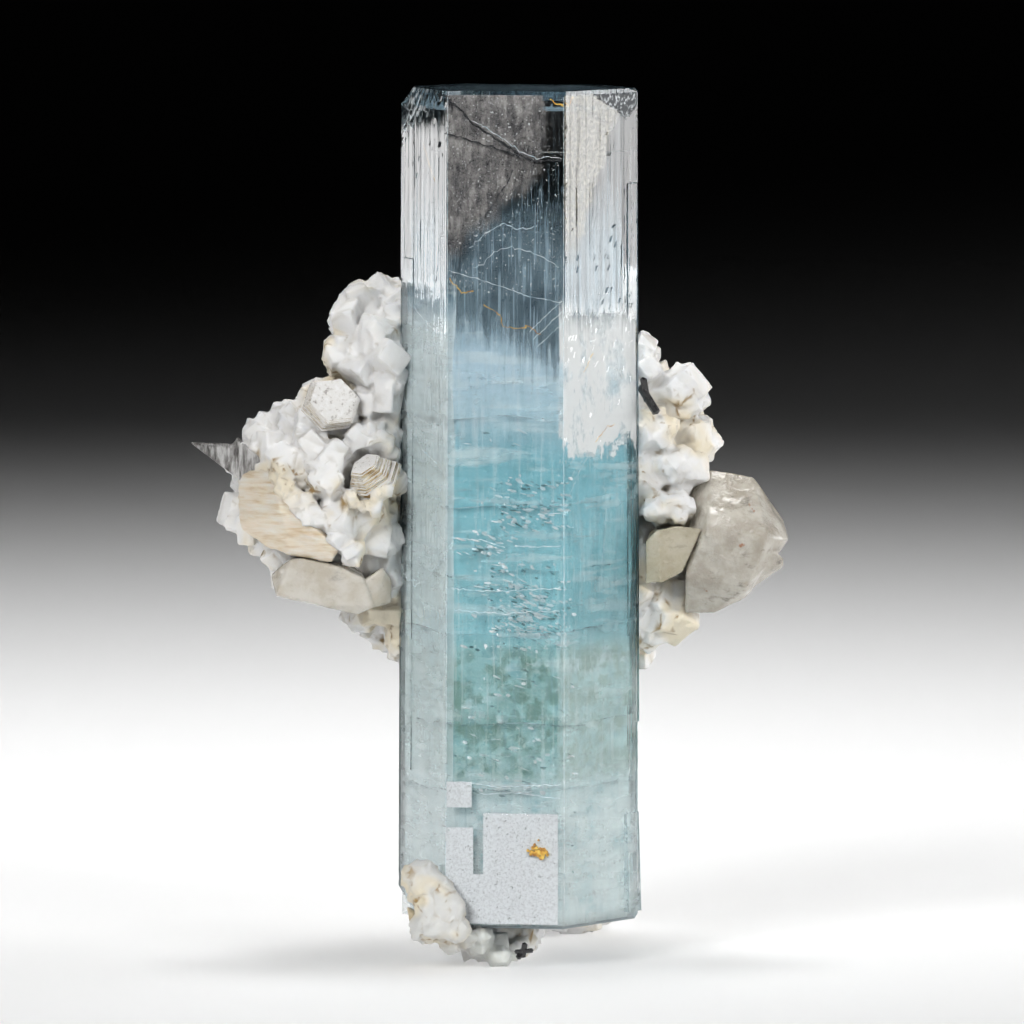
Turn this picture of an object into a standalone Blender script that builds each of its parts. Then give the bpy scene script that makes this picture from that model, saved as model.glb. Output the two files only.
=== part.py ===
"""An aquamarine crystal standing against its albite matrix, with quartz, feldspar, mica and tourmaline.

Lengths in the tables and functions are millimetres, measured from the aquamarine's axis (X to the
right, Y to the back) and from the ground (Z). MM turns them into metres.
"""
import math
import random
from itertools import product

import bmesh
import bpy
from mathutils import Matrix, Vector, noise

MM = 0.001
GAP = 0.32  # clearance between two minerals that grew against each other
POCKET_GROWTH = 1.5  # how far a pocket's corners move out, in gaps, so that its faces clear by one
MERGE = 0.001  # corners nearer than this are one
TOWARDS_FRONT = (0.0, -14.0, 0.8)

# The aquamarine: six prism faces, each a plane with its own distance from the axis.
CRYSTAL_BOTTOM = 5.4
CRYSTAL_TOP = 109.3
FACE_NORMALS = [-7.5, 52.5, 112.5, 172.5, 232.5, 292.5]  # degrees from the front, towards +X
FACE_TOP = [12.85, 12.95, 12.9, 12.9, 12.95, 12.8]
FACE_BOTTOM = [13.55, 13.05, 13.0, 13.1, 13.05, 13.4]

# Growth ledges on the prism faces: face, from and to across it, from and to up it, rise at bottom, at top.
LEDGES = [
    (0, -2.7, 6.6, 5.9, 19.7, 0.10, 0.34),
    (0, -7.4, -4.0, 5.9, 17.9, 0.08, 0.26),
    (0, -4.5, -2.0, 5.9, 12.1, 0.06, 0.18),
    (0, -7.3, -4.2, 20.4, 23.6, 0.12, 0.24),
    (1, 5.2, 7.2, 41.0, 97.5, 0.40, 0.22),
    (1, 4.6, 7.4, 6.4, 18.8, 0.80, 0.42),
    (2, -6.8, -1.0, 30.0, 104.0, 0.55, 0.30),
    (2, 1.5, 6.6, 48.0, 92.0, 0.40, 0.22),
    (3, -6.4, 0.8, 60.0, 101.0, 0.50, 0.30),
    (3, 2.2, 6.5, 78.0, 106.5, 0.35, 0.20),
    (4, -5.6, -0.6, 72.0, 99.0, 0.45, 0.25),
    (5, -6.4, -3.2, 24.0, 88.0, 0.32, 0.18),
]
LEDGE_ROOT = 1.2  # how deep a ledge's solid reaches under its face
LEDGE_INSET = 0.25  # how much smaller its outer face is, on each side

# Chips and breaks on the aquamarine: a point on the cut and the direction it faces.
CHIPS = [
    ((-13.6, 1.0, 108.7), (-0.80, 0.05, 0.60)),
    ((14.45, -2.0, 109.05), (0.62, -0.25, 0.74)),
    ((-14.3, 1.5, 8.0), (-0.80, 0.0, -0.60)),
    ((4.8, 13.6, 106.6), (0.12, 0.55, 0.83)),
    ((13.6, 2.0, 6.9), (0.62, 0.35, -0.70)),
]
STUB = [  # the broken root of the aquamarine, below the foot of its front face
    (-3.2, -9.0, 2.4), (2.9, -9.6, 1.2), (3.4, -2.0, 0.9), (-3.0, -2.0, 1.5),
    (-3.4, -10.5, 6.6), (3.5, -11.2, 6.6), (3.7, -1.5, 6.6), (-3.3, -1.5, 6.6),
    (3.5, -9.4, 3.0), (-0.4, -9.9, 1.9),
]

# The matrix: centre, half sizes, and the spacing and radii of the grains that cover each mass of albite.
MASSES = [
    ((-22.6, 7.5, 58.2), (10.6, 9.5, 10.4), 5.6, (2.4, 3.6)),
    ((-28.4, 6.5, 60.6), (5.0, 6.0, 5.0), 5.4, (2.0, 2.8)),
    ((-15.6, 7.5, 72.6), (6.4, 8.5, 10.8), 5.2, (2.1, 3.3)),
    ((-15.6, 8.5, 47.8), (5.4, 8.0, 7.0), 6.0, (2.0, 3.0)),
    ((-14.8, 8.0, 41.2), (2.2, 5.0, 4.2), 6.0, (1.6, 2.4)),
    ((13.9, 8.5, 63.8), (8.0, 8.5, 9.4), 5.4, (2.1, 3.2)),
    ((12.8, 9.0, 47.4), (7.0, 8.0, 8.6), 5.8, (2.0, 3.2)),
    ((-2.0, 21.5, 62.0), (17.0, 12.5, 21.0), 11.0, (4.2, 6.4)),
    ((0.0, 24.0, 40.0), (13.6, 12.5, 17.0), 11.0, (4.2, 6.2)),
    ((-0.4, 25.5, 20.0), (12.2, 12.0, 15.0), 11.0, (4.0, 5.6)),
    ((-0.2, 30.0, 5.0), (12.4, 11.5, 8.0), 11.0, (3.6, 5.0)),
    ((-1.6, 9.0, 2.6), (4.4, 15.0, 3.4), 8.0, (2.0, 2.8)),
]
CORE_POINTS = 32  # points on each mass before its hull is taken
CORE_ROUGHNESS = 0.07
CORE_BUMPS = 2.3  # how many of them cross a mass
CLUMP_POINTS = 14
GRAIN_WIDTH = (0.7, 0.95)  # of its length
GRAIN_FLATNESS = (0.45, 0.75)
GRAIN_TAPER = (0.70, 1.0)
SINK = 0.80  # a grain is left out where another mass already covers it this deep
MATRIX_FRONT = -6.5  # no grain's centre lies nearer the viewer
WAIST_HEIGHT = 37.0  # below this the matrix stays narrower than the aquamarine
WAIST_HALF = 9.5
CRYSTAL_REACH = 16.0  # from the aquamarine's axis; no grain's centre lies within it
VIEW_HALF = 16.5  # no grain's centre lies before the axis within this half width
GROUND_CLEARANCE = 2.0

# Albite clumps placed by hand round the foot of the aquamarine: centre, half sizes.
CLUMPS = [
    ((-9.9, -13.4, 8.2), (3.6, 2.3, 3.6)),
    ((-11.8, -12.4, 11.0), (2.8, 2.4, 3.0)),
    ((-14.3, -8.2, 9.8), (1.6, 2.8, 2.8)),
    ((-9.6, -12.6, 5.2), (4.2, 3.4, 1.2)),
    ((-6.4, -8.6, 4.5), (3.4, 4.4, 1.2)),
    ((-6.0, -5.0, 4.0), (2.2, 4.6, 1.5)),
    ((-5.0, -6.2, 2.9), (2.1, 2.9, 1.7)),
    ((-2.4, -7.2, 1.6), (2.2, 2.8, 1.9)),
    ((-3.6, -2.2, 1.8), (3.2, 4.0, 2.2)),
    ((1.2, -4.6, 0.9), (1.8, 3.4, 1.3)),
    ((-15.2, 8.0, 25.8), (1.2, 2.0, 1.9)),
    ((15.0, 7.0, 9.5), (0.9, 2.6, 1.6)),
    ((15.6, 5.4, 73.8), (2.0, 3.6, 3.8)),
    ((20.6, 5.0, 71.0), (2.8, 3.4, 3.0)),
    ((-24.4, 6.0, 69.2), (3.4, 4.4, 3.4)),
    ((-28.4, 5.6, 66.8), (3.2, 4.0, 3.2)),
    ((-31.8, 5.4, 64.6), (2.8, 3.6, 2.8)),
    ((18.6, 5.2, 44.6), (2.6, 3.8, 4.4)),
]

# What the underside is trimmed to: flat on the ground, and rising forwards on each side of a keel.
KEEL_LEFT = -6.4
KEEL_RIGHT = 3.3
FOOT_FRONT = 35.0
TRIM_FRONT = -7.5
TRIM_RISE = 4.6
TRIM_REACH = 60.0


def remove_everything():
    for old in list(bpy.data.objects):
        bpy.data.objects.remove(old, do_unlink=True)


def make_material(name, colour, roughness):
    material = bpy.data.materials.new(name)
    material.use_nodes = True
    shader = material.node_tree.nodes["Principled BSDF"]
    shader.inputs["Base Color"].default_value = (*colour, 1.0)
    shader.inputs["Roughness"].default_value = roughness
    shader.inputs["Metallic"].default_value = 0.0
    material.diffuse_color = (*colour, 1.0)
    return material


def make_object(name, bm, material=None):
    """A mesh object from a bmesh in millimetres. It frees the bmesh."""
    bmesh.ops.scale(bm, vec=(MM, MM, MM), verts=bm.verts)
    bmesh.ops.recalc_face_normals(bm, faces=bm.faces)
    mesh = bpy.data.meshes.new(name)
    bm.to_mesh(mesh)
    bm.free()
    made = bpy.data.objects.new(name, mesh)
    bpy.context.scene.collection.objects.link(made)
    if material:
        mesh.materials.append(material)
    return made


def add_hull(bm, points):
    """Adds the convex hull of some points to a bmesh, as a closed shell of its own."""
    verts = [bm.verts.new(point) for point in points]
    made = bmesh.ops.convex_hull(bm, input=verts)
    unused = set(made["geom_interior"]) | set(made["geom_unused"])
    spare = [item for item in unused if isinstance(item, bmesh.types.BMVert)]
    bmesh.ops.delete(bm, geom=spare, context="VERTS")


def hull_object(name, points, material=None):
    bm = bmesh.new()
    add_hull(bm, points)
    return make_object(name, bm, material)


def grown(points, by=GAP):
    """The points moved away from their middle, for a pocket that clears what they bound."""
    middle = sum((Vector(p) for p in points), Vector()) / len(points)
    return [Vector(p) + (Vector(p) - middle).normalized() * by * POCKET_GROWTH for p in points]


def opened(points):
    """A pocket for those points that is open to the front, so that nothing hides what sits in it."""
    rim = grown(points)
    return rim + [point + Vector(TOWARDS_FRONT) for point in rim]


def world_points(obj):
    """An object's corners, in millimetres."""
    return [obj.matrix_world @ vertex.co / MM for vertex in obj.data.vertices]


def apply_boolean(target, other, operation, use_self=False):
    """Joins or cuts target with other, and keeps the result as target's own mesh."""
    step = target.modifiers.new(operation.title(), "BOOLEAN")
    step.operation = operation
    step.solver = "EXACT"
    step.use_self = use_self
    step.object = other
    graph = bpy.context.evaluated_depsgraph_get()
    made = bpy.data.meshes.new_from_object(target.evaluated_get(graph))
    target.modifiers.clear()
    old = target.data
    target.data = made
    bpy.data.meshes.remove(old)
    bpy.data.objects.remove(other, do_unlink=True)


def keep_main_shell(obj):
    """Deletes every loose shell but the one that spans the most, so the object is one body."""
    bm = bmesh.new()
    bm.from_mesh(obj.data)
    bmesh.ops.remove_doubles(bm, verts=bm.verts, dist=MERGE * MM)
    waiting = set(bm.verts)
    shells = []
    while waiting:
        shell = set()
        front = [waiting.pop()]
        while front:
            vertex = front.pop()
            shell.add(vertex)
            for edge in vertex.link_edges:
                other = edge.other_vert(vertex)
                if other in waiting:
                    waiting.remove(other)
                    front.append(other)
        shells.append(shell)
    shells.sort(key=len)
    for shell in shells[:-1]:
        bmesh.ops.delete(bm, geom=list(shell), context="VERTS")
    bm.to_mesh(obj.data)
    bm.free()


# The aquamarine.


def face_direction(index):
    turn = math.radians(FACE_NORMALS[index])
    return Vector((math.sin(turn), -math.cos(turn), 0.0))


def face_distance(index, height):
    share = (height - CRYSTAL_BOTTOM) / (CRYSTAL_TOP - CRYSTAL_BOTTOM)
    return FACE_BOTTOM[index] + (FACE_TOP[index] - FACE_BOTTOM[index]) * share


def prism_ring(height, margin=0.0):
    """The six corners of the aquamarine at a height, where its face planes meet."""
    ring = []
    for index in range(6):
        first = face_direction(index)
        second = face_direction((index + 1) % 6)
        planes = Matrix(((first.x, first.y), (second.x, second.y)))
        distances = Vector((
            face_distance(index, height) + margin,
            face_distance((index + 1) % 6, height) + margin,
        ))
        corner = planes.inverted() @ distances
        ring.append((corner.x, corner.y, height))
    return ring


def ledge_points(face, left, right, low, high, rise_low, rise_high, margin):
    """A shallow plate on a prism face, with sloping sides."""
    out = face_direction(face)
    across = Vector((0, 0, 1)).cross(out)
    points = []
    for height, rise, side in ((low - margin, rise_low, 1), (high + margin, rise_high, -1)):
        for edge, inward in ((left - margin, 1), (right + margin, -1)):
            ground = out * face_distance(face, height) + Vector((0, 0, height))
            points.append(ground + across * edge - out * LEDGE_ROOT)
            tilt = across * (edge + inward * LEDGE_INSET) + Vector((0, 0, side * LEDGE_INSET))
            points.append(ground + tilt + out * (rise + margin))
    return points


def aquamarine_solid(margin, material=None):
    """The prism, its ledges and its broken root, or all of them a margin larger for a pocket."""
    ends = prism_ring(CRYSTAL_BOTTOM - margin, margin) + prism_ring(CRYSTAL_TOP + margin, margin)
    solid = hull_object("aquamarine" if material else "pocket", ends, material)
    for ledge in LEDGES:
        apply_boolean(solid, hull_object("ledge", ledge_points(*ledge, margin)), "UNION")
    apply_boolean(solid, hull_object("root", grown(STUB, margin)), "UNION")
    return solid


def make_aquamarine(material):
    crystal = aquamarine_solid(0.0, material)
    bm = bmesh.new()
    bm.from_mesh(crystal.data)
    for point, direction in CHIPS:
        cut = bmesh.ops.bisect_plane(
            bm, geom=bm.verts[:] + bm.edges[:] + bm.faces[:],
            plane_co=Vector(point) * MM, plane_no=Vector(direction), clear_outer=True,
        )
        rim = [item for item in cut["geom_cut"] if isinstance(item, bmesh.types.BMEdge)]
        bmesh.ops.contextual_create(bm, geom=rim)
    bmesh.ops.recalc_face_normals(bm, faces=bm.faces)
    bm.to_mesh(crystal.data)
    bm.free()
    return crystal


# Quartz and feldspar, each the hull of its corners.

QUARTZ_RIGHT = [
    (23.9, 4.5, 61.1), (29.3, 3.5, 60.3), (33.2, 4.0, 54.7), (33.7, 1.0, 52.7),
    (32.4, 1.2, 51.5), (28.4, -1.0, 45.6), (24.4, 0.0, 43.6), (20.8, 1.0, 43.5),
    (23.6, -3.2, 54.0), (30.9, -3.0, 53.2), (20.9, -2.4, 48.4), (28.4, -3.6, 47.2),
    (21.8, 5.2, 58.2), (22.6, 5.0, 59.8),
    (24.0, 13.0, 59.0), (30.5, 11.0, 57.5), (31.0, 10.0, 49.5), (22.0, 13.5, 45.5),
]
QUARTZ_RIGHT_TWIN = [
    (29.6, -2.4, 51.6), (32.4, -0.8, 51.0), (33.2, 0.6, 50.1), (33.0, 1.6, 49.3),
    (29.8, 1.4, 47.0), (27.0, -1.0, 45.3), (27.2, -2.4, 46.4), (29.5, 8.0, 51.0),
    (30.5, 7.0, 48.2), (26.5, 6.0, 46.4),
]
QUARTZ_RIGHT_INNER = [
    (15.9, -3.2, 52.8), (17.2, -3.6, 54.1), (19.8, -3.0, 54.6), (22.8, -2.0, 54.2),
    (20.3, -2.9, 48.9), (17.8, -3.4, 47.7), (15.9, -2.6, 47.5), (16.6, 6.0, 53.4),
    (21.4, 6.0, 53.6), (19.0, 6.0, 48.2), (16.8, 6.0, 48.0),
]
QUARTZ_LEFT = [
    (-30.2, -3.4, 46.2), (-28.4, -4.6, 50.6), (-26.7, -4.3, 50.7), (-22.4, -4.6, 49.6),
    (-19.4, -4.2, 48.1), (-18.1, -3.2, 44.6), (-20.2, -2.2, 43.6), (-25.2, -3.2, 45.0),
    (-30.3, -2.4, 45.9), (-30.9, -1.0, 48.4), (-30.7, 1.5, 47.4), (-29.0, 7.0, 49.5),
    (-20.0, 7.0, 49.5), (-19.0, 6.5, 43.8), (-28.0, 6.5, 45.8),
]
QUARTZ_LEFT_WEDGE = [
    (-34.6, -0.6, 53.6), (-34.1, 0.0, 51.2), (-32.9, 0.0, 50.0), (-31.1, -0.8, 49.2),
    (-30.0, -2.2, 49.8), (-29.6, -2.0, 51.0), (-33.0, 5.0, 52.2), (-29.0, 6.0, 49.6),
    (-31.6, 5.0, 50.0),
]
QUARTZ_LEFT_GRAIN = [
    (-19.8, -3.6, 47.4), (-17.0, -3.4, 49.5), (-16.0, -2.0, 48.0), (-16.0, -1.6, 45.0),
    (-18.0, -2.8, 44.5), (-19.4, -3.2, 45.0), (-18.0, 5.0, 48.5), (-16.6, 5.0, 46.0),
]
FELDSPAR_LEFT = [
    (-35.2, 1.4, 60.8), (-34.2, 0.2, 57.6), (-34.9, -0.9, 54.9), (-34.6, -0.4, 54.0),
    (-31.2, -2.4, 51.9), (-28.8, -3.8, 51.2), (-23.5, -4.2, 50.1), (-22.5, -5.0, 51.8),
    (-25.0, -5.4, 54.1), (-29.4, -5.2, 56.7), (-31.1, -1.6, 61.8), (-32.7, 0.6, 61.5),
    (-33.0, 7.0, 60.0), (-24.0, 7.0, 57.0), (-23.0, 6.0, 52.4), (-32.0, 6.0, 54.2),
]
SMOKY_QUARTZ = [
    (-13.9, -9.8, 7.6), (-13.4, -9.4, 5.2), (-12.4, -9.6, 4.5), (-10.4, -9.4, 5.0),
    (-10.3, -6.0, 4.7), (-13.0, -5.4, 5.1), (-13.8, -6.4, 7.4), (-12.8, -10.4, 6.4),
    (-12.2, -4.8, 4.8), (-11.2, -10.0, 5.1),
]


def joined_hulls(name, main, others, material):
    solid = hull_object(name, main, material)
    for points in others:
        apply_boolean(solid, hull_object("part", points), "UNION")
    return solid


# Mica, as stepped books of sheets.

BOOKS = {  # centre, normal, half width, thickness, number of sheets, turn about the normal, length to width
    "mica_book_upper": ((-23.3, -1.6, 69.9), (0.22, -0.90, 0.36), 3.5, 2.4, 7, 12.0, 1.08),
    "mica_book_lower": ((-18.6, -2.6, 61.2), (-0.42, -0.46, 0.78), 3.3, 3.4, 9, 38.0, 1.15),
}
SHEET_INSET = 0.10  # how much smaller every second sheet is
SHEET_TAPER = 0.012  # how much smaller each sheet is than the one under it
SHEET_VARIATION = 0.03
WING_TIP = (-40.9, 2.2, 64.9)
WING_ALONG = (0.80, 0.0, -0.60)
WING_UP = (0.60, -0.05, 0.80)
WING_LENGTH = 8.6
WING_THICKNESS = 3.7
WING_DEPTH = 3.4
WING_SHEETS = 7
WING_SLANT = 0.62  # of its length, along which the sheets end one after another
WING_UNDERCUT = 0.12
WING_TIP_DEPTH = 0.45  # of its depth at the thick end


def book_frame(normal, turn):
    """Two directions in the plane of the sheets, and their normal."""
    up = Vector(normal).normalized()
    side = up.cross(Vector((0, 1, 0.001))).normalized()
    side.rotate(Matrix.Rotation(math.radians(turn), 3, up))
    return side, up.cross(side), up


def book_points(centre, normal, radius, thickness, sheets, turn, stretch, seed=5):
    """Rings of six corners, two for each sheet, whose radii differ so that the edges are stepped."""
    pick = random.Random(seed)
    side, other, up = book_frame(normal, turn)
    rings = []
    for sheet in range(sheets):
        inset = SHEET_INSET * (sheet % 2) + SHEET_TAPER * sheet + pick.uniform(0, SHEET_VARIATION)
        size = radius * (1 - inset)
        for level in (sheet, sheet + 1):
            height = thickness * (level / sheets - 0.5)
            ring = []
            for corner in range(6):
                angle = math.radians(60 * corner)
                flat = side * math.cos(angle) * stretch + other * math.sin(angle)
                ring.append(Vector(centre) + flat * size + up * height)
            rings.append(ring)
    return rings


def make_book(name, settings, material):
    bm = bmesh.new()
    rings = [[bm.verts.new(p) for p in ring] for ring in book_points(*settings)]
    bm.faces.new(rings[0])
    bm.faces.new(rings[-1])
    for lower, upper in zip(rings, rings[1:]):
        for i in range(6):
            j = (i + 1) % 6
            bm.faces.new((lower[i], lower[j], upper[j], upper[i]))
    return make_object(name, bm, material)


def wing_outline():
    """The side view of a wedge of sheets: flat beneath, and stepped above from the thin tip."""
    outline = [(0.0, 0.0), (WING_LENGTH, 0.0), (WING_LENGTH, WING_THICKNESS)]
    sheet = WING_THICKNESS / WING_SHEETS
    for step in range(WING_SHEETS, 0, -1):
        reach = WING_LENGTH * WING_SLANT * (step - 1) / (WING_SHEETS - 1)
        outline.append((reach, step * sheet))
        if step > 1:
            outline.append((reach - WING_UNDERCUT, (step - 1) * sheet))
    return outline


def wing_depth(along):
    """The wing's depth at a distance from its tip, as a share of its full depth."""
    return WING_TIP_DEPTH + (1 - WING_TIP_DEPTH) * along / WING_LENGTH


def make_wing(material):
    along = Vector(WING_ALONG).normalized()
    up = Vector(WING_UP).normalized()
    depth = along.cross(up)
    bm = bmesh.new()
    sides = []
    for share in (-0.5, 0.5):
        shift = depth * WING_DEPTH * share
        sides.append([
            bm.verts.new(Vector(WING_TIP) + along * a + up * b + shift * wing_depth(a))
            for a, b in wing_outline()
        ])
    for side in sides:
        bm.faces.new(side)
    count = len(sides[0])
    for i in range(count):
        j = (i + 1) % count
        bm.faces.new((sides[0][i], sides[0][j], sides[1][j], sides[1][i]))
    return make_object("mica_wing", bm, material)


# Black tourmaline, as short three-cornered prisms that cross.

NEEDLE_FLAT = 0.78  # every second edge of a needle lies this much nearer its axis
NEEDLE_POINT = 0.5  # how far its ends rise, in radii
NEEDLES = {  # centre, direction, half length, radius
    "tourmaline_right": [
        ((16.2, -1.2, 70.4), (0.50, -0.25, -0.80), 1.9, 0.62),
        ((15.7, -1.0, 71.6), (-0.15, -0.35, 0.90), 1.5, 0.50),
    ],
    "tourmaline_base": [
        ((0.55, -10.2, 2.3), (0.15, -0.20, 1.0), 0.85, 0.42),
        ((0.60, -10.2, 2.2), (1.0, -0.10, 0.10), 1.05, 0.34),
        ((0.30, -10.1, 1.9), (-0.40, -0.30, -0.6), 0.75, 0.40),
    ],
}


def needle_points(centre, direction, half, radius):
    along = Vector(direction).normalized()
    side = along.cross(Vector((0.3, 1, 0.2))).normalized()
    other = along.cross(side)
    points = []
    for end in (-1, 1):
        middle = Vector(centre) + along * half * end
        for corner in range(6):
            angle = math.radians(60 * corner)
            size = radius * (1.0 if corner % 2 else NEEDLE_FLAT)
            points.append(middle + (side * math.cos(angle) + other * math.sin(angle)) * size)
        points.append(middle + along * end * radius * NEEDLE_POINT)
    return points


# The albite matrix.


def sphere_points(count):
    """Points spread evenly over a unit sphere, on a spiral."""
    golden = math.pi * (3 - math.sqrt(5))
    for i in range(count):
        height = 1 - 2 * (i + 0.5) / count
        width = math.sqrt(1 - height * height)
        yield Vector((width * math.cos(golden * i), width * math.sin(golden * i), height))


def inside(point, centre, half):
    """How far out of a mass a point lies: under 1 is inside it."""
    return math.sqrt(sum(((point[i] - centre[i]) / half[i]) ** 2 for i in range(3)))


def core_points(centre, half, count):
    points = []
    for direction in sphere_points(count):
        bump = 1 + CORE_ROUGHNESS * noise.noise(direction * CORE_BUMPS + Vector(centre))
        points.append([centre[i] + direction[i] * half[i] * bump for i in range(3)])
    return points


def grain_points(centre, normal, radii, pick):
    """A blocky albite crystal: a box with every corner moved a little, turned at random."""
    radius = pick.uniform(*radii)
    half = (radius, radius * pick.uniform(*GRAIN_WIDTH), radius * pick.uniform(*GRAIN_FLATNESS))
    lean = Vector((pick.gauss(0, 1), pick.gauss(0, 1), pick.gauss(0, 1))).normalized()
    frame = (normal + lean).normalized().to_track_quat("Z", "Y").to_matrix()
    spin = Matrix.Rotation(pick.uniform(0, math.tau), 3, "Z")
    points = []
    for corner in product((-1, 1), repeat=3):
        local = Vector([side * size * pick.uniform(*GRAIN_TAPER) for side, size in zip(corner, half)])
        points.append(Vector(centre) + frame @ (spin @ local))
    return points


def covered(place, number):
    """Whether a point on one mass lies well inside another."""
    return any(
        inside(place, centre, half) < SINK
        for other, (centre, half, _, _) in enumerate(MASSES) if other != number
    )


def grain_places():
    """Where the grains sit: on each mass, but not where another mass or the aquamarine covers them."""
    for number, (centre, half, spacing, radii) in enumerate(MASSES):
        mean = (half[0] * half[1] * half[2]) ** (1 / 3)
        count = int(4 * math.pi * mean ** 2 / spacing ** 2)
        for direction in sphere_points(count):
            place = Vector([centre[i] + direction[i] * half[i] for i in range(3)])
            in_crystal = math.hypot(place.x, place.y) < CRYSTAL_REACH and place.z > CRYSTAL_BOTTOM - 1
            in_view = abs(place.x) < VIEW_HALF and place.y < 0
            too_near = place.y < MATRIX_FRONT or place.z < GROUND_CLEARANCE
            too_wide = place.z < WAIST_HEIGHT and abs(place.x) > WAIST_HALF
            if covered(place, number) or in_crystal or in_view or too_near or too_wide:
                continue
            normal = Vector([direction[i] / half[i] for i in range(3)]).normalized()
            yield place, normal, radii


def trim_block(left, right):
    """What is cut from under the matrix beside its keel: a wedge that rises towards the front."""
    points = []
    for x in (left, right):
        points += [
            (x, TRIM_FRONT, TRIM_RISE), (x, TRIM_FRONT, -TRIM_REACH),
            (x, FOOT_FRONT, 0.0), (x, FOOT_FRONT, -TRIM_REACH),
        ]
    return hull_object("trim", points)


def ground_block():
    reach = TRIM_REACH
    corners = [(x, y, z) for x in (-reach, reach) for y in (-reach, reach) for z in (-reach, 0)]
    return hull_object("ground", corners)


def make_albite(material, pockets):
    pick = random.Random(11)
    first, *others = [core_points(centre, half, CORE_POINTS) for centre, half, _, _ in MASSES]
    bm = bmesh.new()
    for points in others:
        add_hull(bm, points)
    for place, normal, radii in grain_places():
        add_hull(bm, grain_points(place, normal, radii, pick))
    for centre, half in CLUMPS:
        add_hull(bm, core_points(centre, half, CLUMP_POINTS))
    grains = make_object("grains", bm)
    albite = hull_object("albite_matrix", first, material)
    apply_boolean(albite, grains, "UNION", use_self=True)
    keep_main_shell(albite)
    for pocket in pockets:
        apply_boolean(albite, pocket, "DIFFERENCE")
    apply_boolean(albite, trim_block(-TRIM_REACH, KEEL_LEFT), "DIFFERENCE")
    apply_boolean(albite, trim_block(KEEL_RIGHT, TRIM_REACH), "DIFFERENCE")
    apply_boolean(albite, ground_block(), "DIFFERENCE")
    keep_main_shell(albite)
    return albite


def rest_on_origin(pieces):
    """Moves everything so that the middle of its footprint is at the origin, on the ground."""
    corners = [vertex.co for piece in pieces for vertex in piece.data.vertices]
    low = [min(corner[i] for corner in corners) for i in range(3)]
    high = [max(corner[i] for corner in corners) for i in range(3)]
    shift = Vector((-(low[0] + high[0]) / 2, -(low[1] + high[1]) / 2, -low[2]))
    for piece in pieces:
        piece.data.transform(Matrix.Translation(shift))


def main():
    remove_everything()
    blue = make_material("aquamarine", (0.42, 0.68, 0.76), 0.06)
    white = make_material("albite", (0.86, 0.86, 0.84), 0.55)
    clear = make_material("quartz", (0.74, 0.70, 0.64), 0.18)
    cream = make_material("feldspar", (0.80, 0.70, 0.56), 0.40)
    brown = make_material("smoky_quartz", (0.46, 0.36, 0.24), 0.20)
    silver = make_material("mica", (0.78, 0.74, 0.66), 0.22)
    black = make_material("tourmaline", (0.015, 0.015, 0.018), 0.15)

    aquamarine = make_aquamarine(blue)
    quartz_right = joined_hulls("quartz_right", QUARTZ_RIGHT, [QUARTZ_RIGHT_TWIN], clear)
    quartz_inner = hull_object("quartz_right_inner", QUARTZ_RIGHT_INNER, clear)
    quartz_left = joined_hulls("quartz_left", QUARTZ_LEFT, [QUARTZ_LEFT_WEDGE, QUARTZ_LEFT_GRAIN], clear)
    feldspar = hull_object("feldspar_left", FELDSPAR_LEFT, cream)
    smoky = hull_object("smoky_quartz", SMOKY_QUARTZ, brown)
    books = [make_book(name, BOOKS[name], silver) for name in BOOKS]
    wing = make_wing(silver)
    tourmalines = []
    for name, needles in NEEDLES.items():
        first, *others = [needle_points(*needle) for needle in needles]
        tourmalines.append(joined_hulls(name, first, others, black))

    # Where two of them meet, one is cut back by the gap.
    apply_boolean(quartz_inner, hull_object("pocket", grown(QUARTZ_RIGHT)), "DIFFERENCE")
    apply_boolean(quartz_inner, aquamarine_solid(GAP), "DIFFERENCE")
    apply_boolean(quartz_left, hull_object("pocket", grown(FELDSPAR_LEFT)), "DIFFERENCE")
    apply_boolean(wing, hull_object("pocket", grown(FELDSPAR_LEFT)), "DIFFERENCE")
    apply_boolean(smoky, aquamarine_solid(GAP), "DIFFERENCE")
    for piece in (quartz_inner, quartz_left, wing, smoky):
        keep_main_shell(piece)
    base_points = world_points(tourmalines[1])
    apply_boolean(aquamarine, hull_object("pocket", grown(base_points)), "DIFFERENCE")

    in_front = [
        QUARTZ_RIGHT, QUARTZ_RIGHT_TWIN, QUARTZ_RIGHT_INNER, QUARTZ_LEFT, QUARTZ_LEFT_WEDGE,
        QUARTZ_LEFT_GRAIN, FELDSPAR_LEFT,
    ]
    in_front += [world_points(piece) for piece in books + [wing, tourmalines[0]]]
    pockets = [hull_object("pocket", opened(points)) for points in in_front]
    for points in (SMOKY_QUARTZ, base_points):
        pockets.append(hull_object("pocket", grown(points)))
    pockets.append(aquamarine_solid(GAP))
    albite = make_albite(white, pockets)

    rest_on_origin(
        [aquamarine, quartz_right, quartz_inner, quartz_left, feldspar, smoky, wing, albite]
        + books + tourmalines
    )


main()
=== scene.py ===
import math
import random

import bmesh
import bpy
import numpy as np
from mathutils import Matrix, Vector, noise


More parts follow.
